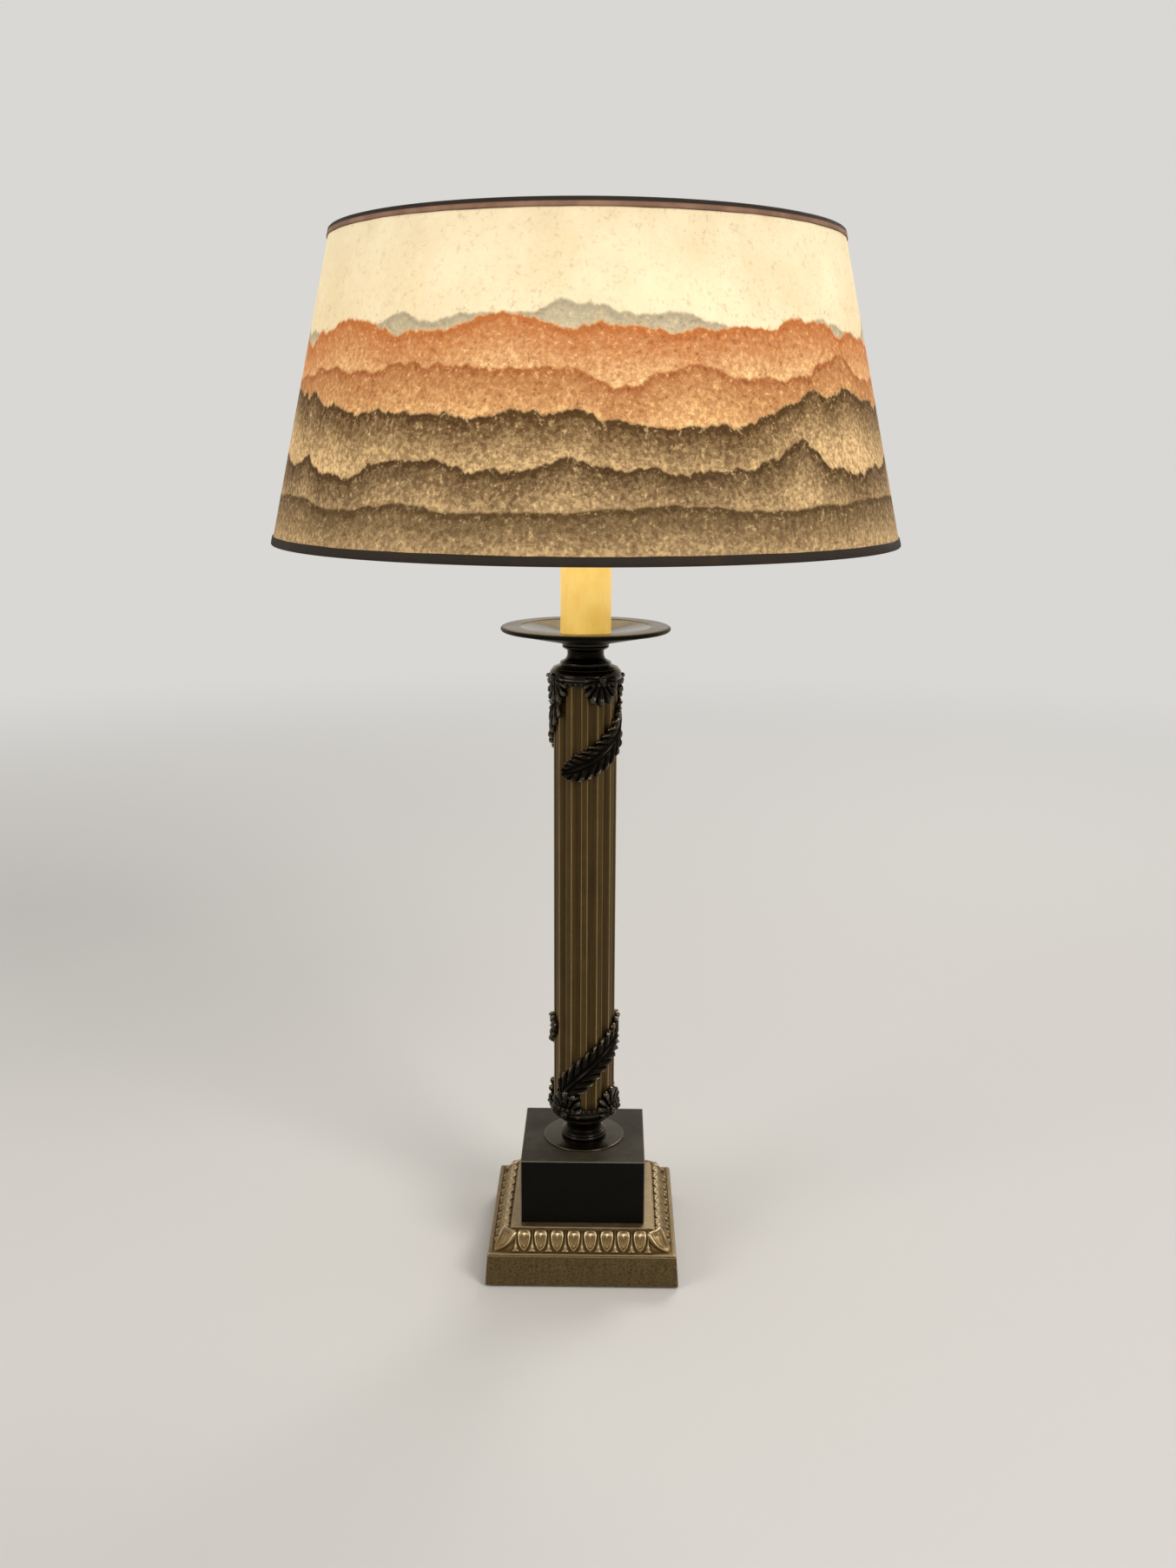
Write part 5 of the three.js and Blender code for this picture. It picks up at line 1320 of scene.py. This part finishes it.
def makeSocketCap(size):
    foot, top = low("socket_cap"), high("socket_cap")
    radius, hub, bore = size["radius"], size["hub"], size["bore"]
    inner, hubTop = radius - size["wall"], foot + size["hubHeight"]
    ceiling = hubTop + size["wall"]
    bowl = bezier((hub + 0.6, hubTop + 0.2), (radius - 3, hubTop), (radius, hubTop + 3),
                  (radius, top - 4), 12)
    outline = softened([(bore, foot), (hub, foot, 0.5), (hub, hubTop, 0.4), bowl[0]]) + bowl[1:]
    outline += [(radius + 0.35, top - 3.6), (radius + 0.35, top - 2.9), (radius, top - 2.5), (radius, top)]
    outline += [(inner, top), (inner, top - 4), (inner - 1.5, hubTop + 3.4)]
    outline += [(hub - 0.5, ceiling), (bore, ceiling)]
    settle(turnedPiece("socketCap", outline, size["sides"], lampBrass), "stand", "socket_brass", "socket_cap")


def makeSocketShell(size):
    foot, top, keyZ = low("socket_shell"), high("socket_shell"), midHeight("switch_knob")
    radius, inner = size["radius"], size["radius"] - size["wall"]
    outline = [(inner, foot), (radius, foot)]
    for z in (foot + 1.5, top - 5.0, top - 2.6):  # rolled rings
        outline += [(radius, z), (radius + 0.4, z + 0.35), (radius + 0.4, z + 0.9), (radius, z + 1.25)]
    outline += [(radius, top - 0.6), (radius + 0.5, top - 0.3), (radius + 0.4, top), (inner, top)]
    piece = turnedPiece("socketShell", outline, size["sides"], lampBrass)
    start, end = size["drillRun"]
    drill(piece, size["keyHole"], start, end, size["holeSides"], lambda x, y, z: (x, -z, keyZ + y))
    shadeSmooth(piece.data, 38)
    settle(piece, "stand", "socket_brass", "socket_shell")


turnKey = {"neck": 4.2, "grip": 6.5, "length": 14.0, "flat": 4.3, "bore": 2.5, "depth": 7.3, "sides": 56}


def makeKey(size):
    start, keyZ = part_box("switch_knob")[1].y / mm, midHeight("switch_knob")
    neck, grip, bore, depth = size["neck"], size["grip"], size["bore"], size["depth"]
    end = size["length"]
    outline = [(0, depth), (bore, depth), (bore, 0), (neck, 0), (neck + 0.3, 0.4), (neck + 0.3, 1.4)]
    outline += bezier((neck, 1.8), (neck, end / 3), (grip, end / 3), (grip, 2 * end / 3), 8)
    outline += bezier((grip, 2 * end / 3), (grip, end), (grip * 0.6, end), (0, end), 8)[1:]
    verts, faces, values = turned(outline, size["sides"])
    shaped = []
    for x, y, z in verts:
        limit = size["flat"] + 0.15 * math.cos(y * 3.2) * smooth(z, 5.0, 7.0)  # two flat, ribbed sides
        shaped.append((max(-limit, min(limit, x)), start - z, keyZ + y))
    settle(addPiece("turnKey", shaped, faces, blackPhenolic, values), "turn_key", "phenolic", "switch_knob")


makeSocketCap(socket)
makeSocketShell(socket)
makeKey(turnKey)
print("socket made")


# Bulb: screw base and frosted glass
bulb = {
    "baseRadius": 13.5, "threadDepth": 0.9, "threadPitch": 3.6, "contact": 4.5, "neck": 11.5, "radius": 30.0,
    "wall": 1.0, "flare": 8.9, "roundness": 0.5523, "baseSides": 56, "stepsPerTurn": 10, "glassSides": 72,
}


def makeBulbBase(size):
    foot, top = low("bulb_base"), high("bulb_base")
    wide, contact, sides = size["baseRadius"], size["contact"], size["baseSides"]
    inner = size["neck"] + 0.3
    verts, rings = threaded(wide, size["threadDepth"], size["threadPitch"], foot + 6, top - 3, sides,
                            size["stepsPerTurn"])
    below = [(0, foot), (contact, foot), (contact + 1, foot + 1.5), (wide - 1, foot + 5)]
    above = [(wide, top - 2.4), (size["neck"] + 1.2, top), (inner, top), (inner, top - 6), (0, top - 6)]
    rings = addRings(verts, below, sides) + rings + addRings(verts, above, sides)
    piece = addPiece("bulbBase", verts, loft(rings), platedSteel, [plainMark] * len(verts))
    settle(piece, "bulb", "plated_steel", "bulb_base")


def makeLitGlass():
    material, tree, shader = newMaterial("litGlass")
    spot, foot = objectSpot(tree), low("bulb_glass")
    cloud = noise(tree, spot, 55.0, 4.0, 0.6)
    lit = ramp(tree, parted(tree, spot)["Z"], (foot + 4) * mm, (foot + 38) * mm)
    dress(tree, shader, {
        "Base Color": mixed(tree, ramp(tree, cloud, 0.3, 0.7), (0.93, 0.88, 0.76, 1), (0.98, 0.95, 0.86, 1)),
        "Roughness": ramp(tree, cloud, 0.3, 0.7, 0.28, 0.42),
        "Emission Color": mixed(tree, lit, (0.42, 0.24, 0.09, 1), (1.0, 0.86, 0.60, 1)),
        "Emission Strength": 0.2})
    return material


# The glass's outline from the neck to the crown, set in by part of its wall
def glassLine(size, inset):
    foot, top = low("bulb_glass"), high("bulb_glass")
    flare, middle = foot + size["flare"], top - size["radius"]
    neck, cheek, crown = size["neck"] - inset, size["radius"] - inset, top - inset
    bend = size["roundness"] * cheek
    line = [(neck, foot), (neck, foot + 5)]
    line += bezier((neck, flare), (neck, flare + 14), (cheek, middle - 18), (cheek, middle), 20)
    return line + bezier((cheek, middle), (cheek, middle + bend), (bend, crown), (0, crown), 18)[1:]


def makeBulbGlass(size):
    outline = glassLine(size, size["wall"])[::-1] + glassLine(size, 0)
    piece = turnedPiece("bulbGlass", outline, size["glassSides"], makeLitGlass())
    settle(piece, "bulb", "frosted_glass", "bulb_glass")


makeBulbBase(bulb)
makeBulbGlass(bulb)
print("bulb made")


# Shade: washed paper on a lining, folded tapes, wire hoops and spider
shade = {"bottom": 228.6, "top": 181.0, "height": 214.5, "inset": 1.0, "paper": 1.2, "sides": 240, "rows": 16}


# One wash of watercolour: a ragged upper edge with a pooled line, thinning and granulating downwards
def makeWashLayer():
    tree, given, out = newGroup("washLayer", [
        ("Color", "Color", (1, 1, 1, 1)), ("Wash Color", "Color", (0.5, 0.3, 0.2, 1)),
        ("Body Color", "Color", (0.8, 0.6, 0.4, 1)), ("Body", "Float", 0.5), ("Rise", "Float", 0.0),
        ("Level", "Float", 0.5), ("Wave", "Float", 0.1), ("Wave Scale", "Float", 8.0),
        ("Shift", "Float", 0.0), ("Opacity", "Float", 0.6), ("Drain", "Float", 0.2)], [("Color", "Color")])
    spot = objectSpot(tree)
    flat = vectors(tree, "MULTIPLY", spot, (1.0, 1.0, 0.12))
    moved = vectors(tree, "ADD", flat, combined(tree, given["Shift"], given["Shift"], given["Shift"]))
    broad = minus(tree, noise(tree, moved, given["Wave Scale"], 2.0, 0.5), 0.5)
    ragged = minus(tree, noise(tree, moved, times(tree, given["Wave Scale"], 6.0), 4.0, 0.6), 0.5)
    edge = plus(tree, given["Level"], times(tree, broad, times(tree, given["Wave"], 2.0)))
    edge = plus(tree, edge, times(tree, ragged, times(tree, given["Wave"], 0.45)))
    under = minus(tree, edge, given["Rise"])
    mask = ramp(tree, under, -0.004, 0.010)
    pooled = times(tree, ramp(tree, under, 0.0, 0.010), ramp(tree, under, 0.035, 0.010))
    drained = ramp(tree, under, 0.02, given["Drain"], 1.0, 0.0)
    grain = ramp(tree, noise(tree, spot, 330.0, 3.0, 0.65), 0.42, 0.60)
    bare = times(tree, grain, times(tree, minus(tree, 1.3, drained), 0.45))  # the paper that shows through
    left = minus(tree, plus(tree, times(tree, drained, 0.60), 0.40), bare, clamp=True)
    cover = times(tree, times(tree, mask, given["Opacity"]), left)
    cover = plus(tree, cover, times(tree, pooled, 0.18), clamp=True)
    drenched = mixed(tree, times(tree, mask, given["Body"]), given["Color"], given["Body Color"])
    dress(tree, out, {"Color": mixed(tree, cover, drenched, given["Wash Color"])})
    return tree


# Pale and dark flecks in the paper
def makePaperFlecks():
    tree, given, out = newGroup("paperFlecks", [
        ("Color", "Color", (1, 1, 1, 1)), ("Scale", "Float", 420.0), ("Amount", "Float", 0.5)],
        [("Color", "Color"), ("Height", "Float")])
    spot = objectSpot(tree)
    fine = noise(tree, spot, given["Scale"], 4.0, 0.7)
    coarse = noise(tree, spot, times(tree, given["Scale"], 0.42), 3.0, 0.6)
    grain = plus(tree, times(tree, fine, 0.6), times(tree, coarse, 0.4))
    light = times(tree, ramp(tree, grain, 0.53, 0.66), given["Amount"])
    dark = times(tree, ramp(tree, grain, 0.48, 0.36), given["Amount"])
    color = mixed(tree, light, given["Color"], (1.0, 0.86, 0.62, 1), "SOFT_LIGHT")
    color = mixed(tree, times(tree, light, 0.42), color, (0.95, 0.72, 0.42, 1))
    color = mixed(tree, times(tree, dark, 0.62), color, (0.30, 0.17, 0.08, 1), "MULTIPLY")
    dress(tree, out, {"Color": color, "Height": grain})
    return tree


paperFlecks = makePaperFlecks()

# Washes from the top down, each with its values in the order of these inputs
washInputs = ("Wash Color", "Body Color", "Body", "Level", "Wave", "Wave Scale", "Shift", "Opacity", "Drain")
washes = [
    ((0.30, 0.26, 0.18, 1), (0.72, 0.60, 0.42, 1), 0.5, 0.700, 0.180, 7.0, 3.1, 0.62, 0.20),
    ((0.48, 0.158, 0.044, 1), (0.97, 0.645, 0.315, 1), 0.9, 0.665, 0.160, 9.0, 7.7, 0.95, 0.24),
    ((0.365, 0.122, 0.036, 1), (0.94, 0.565, 0.245, 1), 0.75, 0.540, 0.150, 11.0, 1.9, 0.85, 0.22),
    ((0.088, 0.043, 0.012, 1), (0.80, 0.55, 0.28, 1), 0.9, 0.425, 0.240, 8.0, 9.4, 0.97, 0.22),
    ((0.084, 0.044, 0.014, 1), (0.76, 0.52, 0.27, 1), 0.85, 0.285, 0.190, 10.0, 5.2, 0.95, 0.21),
    ((0.104, 0.060, 0.021, 1), (0.70, 0.48, 0.25, 1), 0.85, 0.150, 0.090, 7.0, 12.6, 0.92, 0.20),
]


def makeShadePaper():
    layer = makeWashLayer()
    material, tree, shader = newMaterial("washedPaper")
    spot = objectSpot(tree)
    foot, top = low("shade_panel") * mm, high("shade_panel") * mm
    heights = {"Value": parted(tree, spot)["Z"], "From Min": foot, "From Max": top}
    rise = put(tree, "ShaderNodeMapRange", heights).outputs[0]
    cloud = noise(tree, spot, 16.0, 4.0, 0.55)
    color = mixed(tree, ramp(tree, cloud, 0.3, 0.72), (0.80, 0.665, 0.435, 1), (0.92, 0.81, 0.585, 1))
    brushed = place(tree, longStreaks, {"Across": 55.0, "Along": 4.0})["Mask"]
    color = mixed(tree, ramp(tree, brushed, 0.45, 0.72, 0.0, 0.5), color, (0.82, 0.68, 0.45, 1))
    for wash in washes:
        color = place(tree, layer, {"Color": color, "Rise": rise, **dict(zip(washInputs, wash))})["Color"]
    amount = ramp(tree, rise, 0.82, 0.5, 0.35, 0.9)
    flecks = place(tree, paperFlecks, {"Color": color, "Scale": 430.0, "Amount": amount})
    # The paper glows with painted light from the bulb inside: emission brightest a little above mid height,
    # dimmer at the bottom and top
    lit = times(tree, ramp(tree, rise, 0.0, 0.62, 0.70, 1.0), ramp(tree, rise, 1.08, 0.75, 0.8, 1.0))
    warm = mixed(tree, 1.0, flecks["Color"], (1.0, 0.93, 0.78, 1), "MULTIPLY")
    dress(tree, shader, {
        "Base Color": mixed(tree, 1.0, flecks["Color"], (0.62, 0.62, 0.62, 1), "MULTIPLY"),
        "Emission Color": mixed(tree, lit, (0, 0, 0, 1), warm), "Emission Strength": 0.62,
        "Roughness": 0.72, "Specular IOR Level": 0.15})
    bump(tree, shader, flecks["Height"], 0.22)
    return material


def makeShadeLining():
    material, tree, shader = newMaterial("shadeLining")
    flecks = place(tree, paperFlecks, {"Color": (0.86, 0.76, 0.58, 1), "Scale": 300.0, "Amount": 0.25})
    dress(tree, shader, {
        # The lining's emission is painted light from the bulb inside the shade
        "Base Color": flecks["Color"], "Roughness": 0.8,
        "Emission Color": mixed(tree, 1.0, flecks["Color"], (1.0, 0.86, 0.62, 1), "MULTIPLY"),
        "Emission Strength": 0.35})
    bump(tree, shader, flecks["Height"], 0.15, 0.0003)
    return material


def paperRadius(rise):
    return shade["bottom"] + (shade["top"] - shade["bottom"]) * rise / shade["height"] - shade["inset"]


def makeShadePanel(size):
    foot = low("shade_bottom_trim")
    rows = np.linspace(low("shade_panel") - foot, high("shade_panel") - foot, size["rows"] + 1)
    outline = [(paperRadius(z), z + foot) for z in rows]
    outline += [(x - size["paper"], z) for x, z in outline[::-1]]
    piece = turnedPiece("shadePanel", outline, size["sides"], makeShadePaper())
    piece.data.materials.append(makeShadeLining())
    lined = [int(face.normal.xy.dot(face.center.xy) < 0) for face in piece.data.polygons]  # inner faces
    piece.data.polygons.foreach_set("material_index", lined)
    settle(piece, "shade", "shade_paper", "shade_panel")


def makeTapeCloth():
    material, tree, shader = newMaterial("edgeTape")
    spot = objectSpot(tree)
    axes = parted(tree, spot)
    warp = sums(tree, "SINE", times(tree, sums(tree, "ARCTAN2", axes["Y"], axes["X"]), 900.0))
    weft = sums(tree, "SINE", times(tree, axes["Z"], 7000.0))
    weave = plus(tree, times(tree, times(tree, warp, weft), 0.5), 0.5)
    cloud = noise(tree, spot, 40.0, 5.0, 0.65)
    color = mixed(tree, ramp(tree, weave, 0.1, 0.9), (0.012, 0.0085, 0.0062, 1), (0.038, 0.027, 0.019, 1))
    color = mixed(tree, ramp(tree, cloud, 0.45, 0.72, 0.0, 0.4), color, (0.07, 0.038, 0.023, 1))
    # a copper band near the top edge: its colour, and an emission on it that is a painted glow
    top = high("shade_top_trim") * mm
    copperGlowBand = times(tree, ramp(tree, axes["Z"], top - 0.0068, top - 0.0050),
                     ramp(tree, axes["Z"], top - 0.0024, top - 0.0034))
    copper = mixed(tree, ramp(tree, cloud, 0.35, 0.65), (0.20, 0.105, 0.062, 1), (0.30, 0.17, 0.11, 1))
    dress(tree, shader, {
        "Base Color": mixed(tree, times(tree, copperGlowBand, 0.85), color, copper),
        "Roughness": ramp(tree, cloud, 0.3, 0.7, 0.6, 0.8), "Specular IOR Level": 0.2,
        "Emission Color": mixed(tree, copperGlowBand, (0, 0, 0, 1), copper), "Emission Strength": 0.35})
    bump(tree, shader, weave, 0.5)
    return material


tape = {
    "height": 6.2, "thickness": 0.7, "back": 2.9, "gap": 0.12, "sides": 360,
    "ripples": ((0.10, 9, 0.0), (0.06, 23, 1.3), (0.05, 41, 0.4)),  # size, count and start of each
}


# A folded tape over the shade's edge at a height; inward is the way from that edge into the shade
def makeTape(size, material, edge, inward, name, node):
    foot, tall, back = low("shade_bottom_trim"), size["height"], size["back"]
    gap, thick = size["gap"], size["thickness"]
    outer, inner = gap + thick, -shade["paper"] - gap
    section = [  # depth from the edge, and distance out from the paper
        (tall, gap + 0.1), (tall, gap + thick * 0.7), (tall - 0.5, outer + 0.12), (3.0, outer + 0.16),
        (0.9, outer + 0.12), (0.2, gap + thick * 0.4), (0.0, -0.3), (0.0, inner + 0.1),
        (0.3, inner - thick * 0.7), (1.0, inner - thick), (back, inner - thick * 0.8), (back, inner - 0.1),
        (0.85, inner), (0.8, gap)]
    levels = [(edge + inward * depth, out) for depth, out in section]
    verts, faces, values = turned([(paperRadius(z) + out, z + foot) for z, out in levels], size["sides"])
    wavy = []
    for x, y, z in verts:  # hand-folded, so the tape's edge wanders a little
        angle = math.atan2(y, x)
        wander = sum(share * math.sin(count * angle + start) for share, count, start in size["ripples"])
        wavy.append((x, y, z + inward * wander * smooth((z - foot - edge) * inward, 3.0, 6.0)))
    settle(addPiece(name, wavy, faces, material, values, 60), "shade", "shade_tape", node)


def makeTapes(size):
    cloth = makeTapeCloth()
    makeTape(size, cloth, shade["height"], -1, "shadeTopTape", "shade_top_trim")
    makeTape(size, cloth, 0, 1, "shadeBottomTape", "shade_bottom_trim")


frameWire = {
    "hoop": 1.7, "hoopSides": 200, "spider": 1.8, "spiderSides": 14, "washer": 14.0, "washerThickness": 1.5,
    "washerSides": 64, "hole": 3.5, "arms": (60, 180, 300), "rise": 30.0, "tail": 8.0,
}


def makeHoop(size, name, node):
    wire, middle = size["hoop"], midHeight(node)
    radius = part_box(node)[1].x / mm - wire
    turns = np.linspace(0, 2 * math.pi, 15)[:-1]
    outline = [(radius + wire * math.cos(a), middle + wire * math.sin(a)) for a in turns]
    settle(turnedPiece(name, outline, size["hoopSides"], lampBrass), "shade", "socket_brass", node)


def makeSpider(size):
    hole, washer, thick = size["hole"], size["washer"], size["washerThickness"]
    seat = high("harp_stud") - stud["length"] + 0.1
    parts = [turned(softened([(hole, seat), (washer, seat, 0.4), (washer, seat + thick, 0.5),
                              (hole, seat + thick, 0.3)]), size["washerSides"])]
    level = seat + thick - size["spider"] - 0.1  # arms lie under the washer's top face
    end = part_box("shade_top_ring")[1].x / mm - 2 * size["hoop"] + 0.4
    bendEnd = end - size["tail"]
    bendStart = bendEnd - size["rise"]
    straight, bent = np.linspace(washer - 1.8, bendStart - 6, 12), np.linspace(bendStart, bendEnd + 4, 18)
    reach = np.concatenate([straight, bent, [end]])
    lift = level + (midHeight("shade_top_ring") - level) * smooth(reach, bendStart, bendEnd + 3)
    for azimuth in size["arms"]:
        route = [around(azimuth, radius, z) for radius, z in zip(reach, lift)]
        parts.append(wireAlong(route, size["spider"], size["spiderSides"]))
    verts, faces, values = gathered(*parts)
    settle(addPiece("shadeSpider", verts, faces, lampBrass, values), "shade", "socket_brass", "shade_spider")


makeShadePanel(shade)
makeTapes(tape)
makeHoop(frameWire, "shadeTopHoop", "shade_top_ring")
makeHoop(frameWire, "shadeBottomHoop", "shade_bottom_ring")
makeSpider(frameWire)
print("shade made")


# Turned finial
finial = {"height": 25.0, "foot": 6.5, "waist": 4.7, "knob": 7.5, "bore": 3.475, "depth": 14.0, "sides": 64}


def makeFinial(size):
    foot, waist, knob, tall = size["foot"], size["waist"], size["knob"], size["height"]
    bore, depth, middle = size["bore"], size["depth"], tall - knob
    hollow = bezier((foot - 1.0, 3.4), (waist, 4.2), (waist, 5.6), (waist, 7.6), 8)
    outline = [(0, depth), (bore, depth)]
    outline += softened([(bore, 0), (foot, 0, 0.3), (foot, 1.6, 0.6), (foot - 0.9, 2.1),
                         (foot - 0.5, 2.4, 0.2), (foot - 0.5, 3.2, 0.3), hollow[0]])
    outline += hollow[1:]
    outline += [(waist + 0.9, 8.0), (waist + 1.2, 8.5), (waist + 0.9, 9.0), (waist + 0.2, 9.3)]
    ball = np.linspace(-1.05, math.pi / 2, 18)[:-1]
    outline += [(knob * math.cos(a), middle + knob * math.sin(a)) for a in ball]
    outline = raised(outline + [(0, tall)], low("finial"))
    piece = turnedPiece("finialKnob", outline, size["sides"], lampBrass)
    settle(piece, "finial_knob", "socket_brass", "finial")


makeFinial(finial)
print("finial made")


# Inner works keep their CAD shape and get their finish
innerWorks = {
    castIron: ["ballast_weight"],
    platedSteel: ["pipe_washer", "pipe_nut", "center_pipe", "switch_shaft"],
    brownFibre: ["socket_liner"],
    blackPhenolic: ["socket_body"],
    lampBrass: ["screw_shell"],
}
for material, names in innerWorks.items():
    for name in names:
        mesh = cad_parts[name].data
        mesh.materials.clear()
        mesh.materials.append(material)
print("inner works finished")


# Plain floor that fades into the backdrop, soft boxes and a pale world
studio = {
    "backdrop": (0.70, 0.685, 0.66, 1), "floor": (0.70, 0.685, 0.66, 1), "reaches": (1.2, 4.0, 30.0),
    "sides": 64, "fadeStart": 0.9, "fadeEnd": 3.2, "skylight": (1.0, 0.985, 0.96, 1), "ambient": 0.42,
    "aim": (0, 0, 0.4),
    "boxes": [  # name, place, size, power and colour
        ("keyBox", (1.7, -1.9, 2.1), 1.3, 43.0, (1.0, 0.975, 0.94)),
        ("fillBox", (-2.1, -1.5, 1.5), 1.5, 21.0, (1.0, 0.98, 0.95)),
        ("backBox", (0.9, 2.0, 2.2), 1.2, 26.0, (1.0, 0.985, 0.96)),
    ],
}


def makeFloor(look):
    verts = []
    rings = addRings(verts, [(0, 0)] + [(reach, 0) for reach in look["reaches"]], look["sides"])
    mesh = bpy.data.meshes.new("floor")
    mesh.from_pydata(verts, [], reversedFaces(loft(rings)))
    floor = bpy.data.objects.new("floor", mesh)
    scene.collection.objects.link(floor)
    material, tree, shader = newMaterial("studioFloor")
    dress(tree, shader, {"Base Color": look["floor"], "Roughness": 0.9, "Specular IOR Level": 0.1})
    away = put(tree, "ShaderNodeVectorMath", {0: objectSpot(tree)}, operation="LENGTH").outputs["Value"]
    path = put(tree, "ShaderNodeLightPath").outputs
    seen = sums(tree, "MAXIMUM", path["Is Camera Ray"], path["Is Glossy Ray"])
    fade = times(tree, ramp(tree, away, look["fadeStart"], look["fadeEnd"]), seen)
    plain = put(tree, "ShaderNodeEmission", {"Color": look["backdrop"], "Strength": 1.0})
    blend = put(tree, "ShaderNodeMixShader", {0: fade, 1: shader.outputs[0], 2: plain.outputs[0]})
    tree.links.new(blend.outputs[0], tree.nodes["Material Output"].inputs["Surface"])
    mesh.materials.append(material)


def makeWorld(look):
    world = bpy.data.worlds.new("paleWorld")
    scene.world = world
    world.use_nodes = True
    tree = world.node_tree
    tree.nodes.clear()
    path = put(tree, "ShaderNodeLightPath").outputs
    mirrored = sums(tree, "MAXIMUM", path["Is Glossy Ray"], path["Is Transmission Ray"])
    seen = sums(tree, "MAXIMUM", path["Is Camera Ray"], mirrored)
    shown = put(tree, "ShaderNodeBackground", {"Color": look["backdrop"], "Strength": 1.0})
    light = put(tree, "ShaderNodeBackground", {"Color": look["skylight"], "Strength": look["ambient"]})
    blend = put(tree, "ShaderNodeMixShader", {0: seen, 1: light.outputs[0], 2: shown.outputs[0]})
    put(tree, "ShaderNodeOutputWorld", {"Surface": blend.outputs[0]})


def makeLights(look):
    for name, spot, size, power, color in look["boxes"]:
        data = bpy.data.lights.new(name, "AREA")
        data.shape = "DISK"
        data.size = size
        data.energy = power
        data.color = color
        lamp = bpy.data.objects.new(name, data)
        lamp.location = spot
        lamp.rotation_mode = "QUATERNION"
        lamp.rotation_quaternion = (Vector(look["aim"]) - Vector(spot)).to_track_quat("-Z", "Y")
        scene.collection.objects.link(lamp)


makeFloor(studio)
makeWorld(studio)
makeLights(studio)
print("studio made")
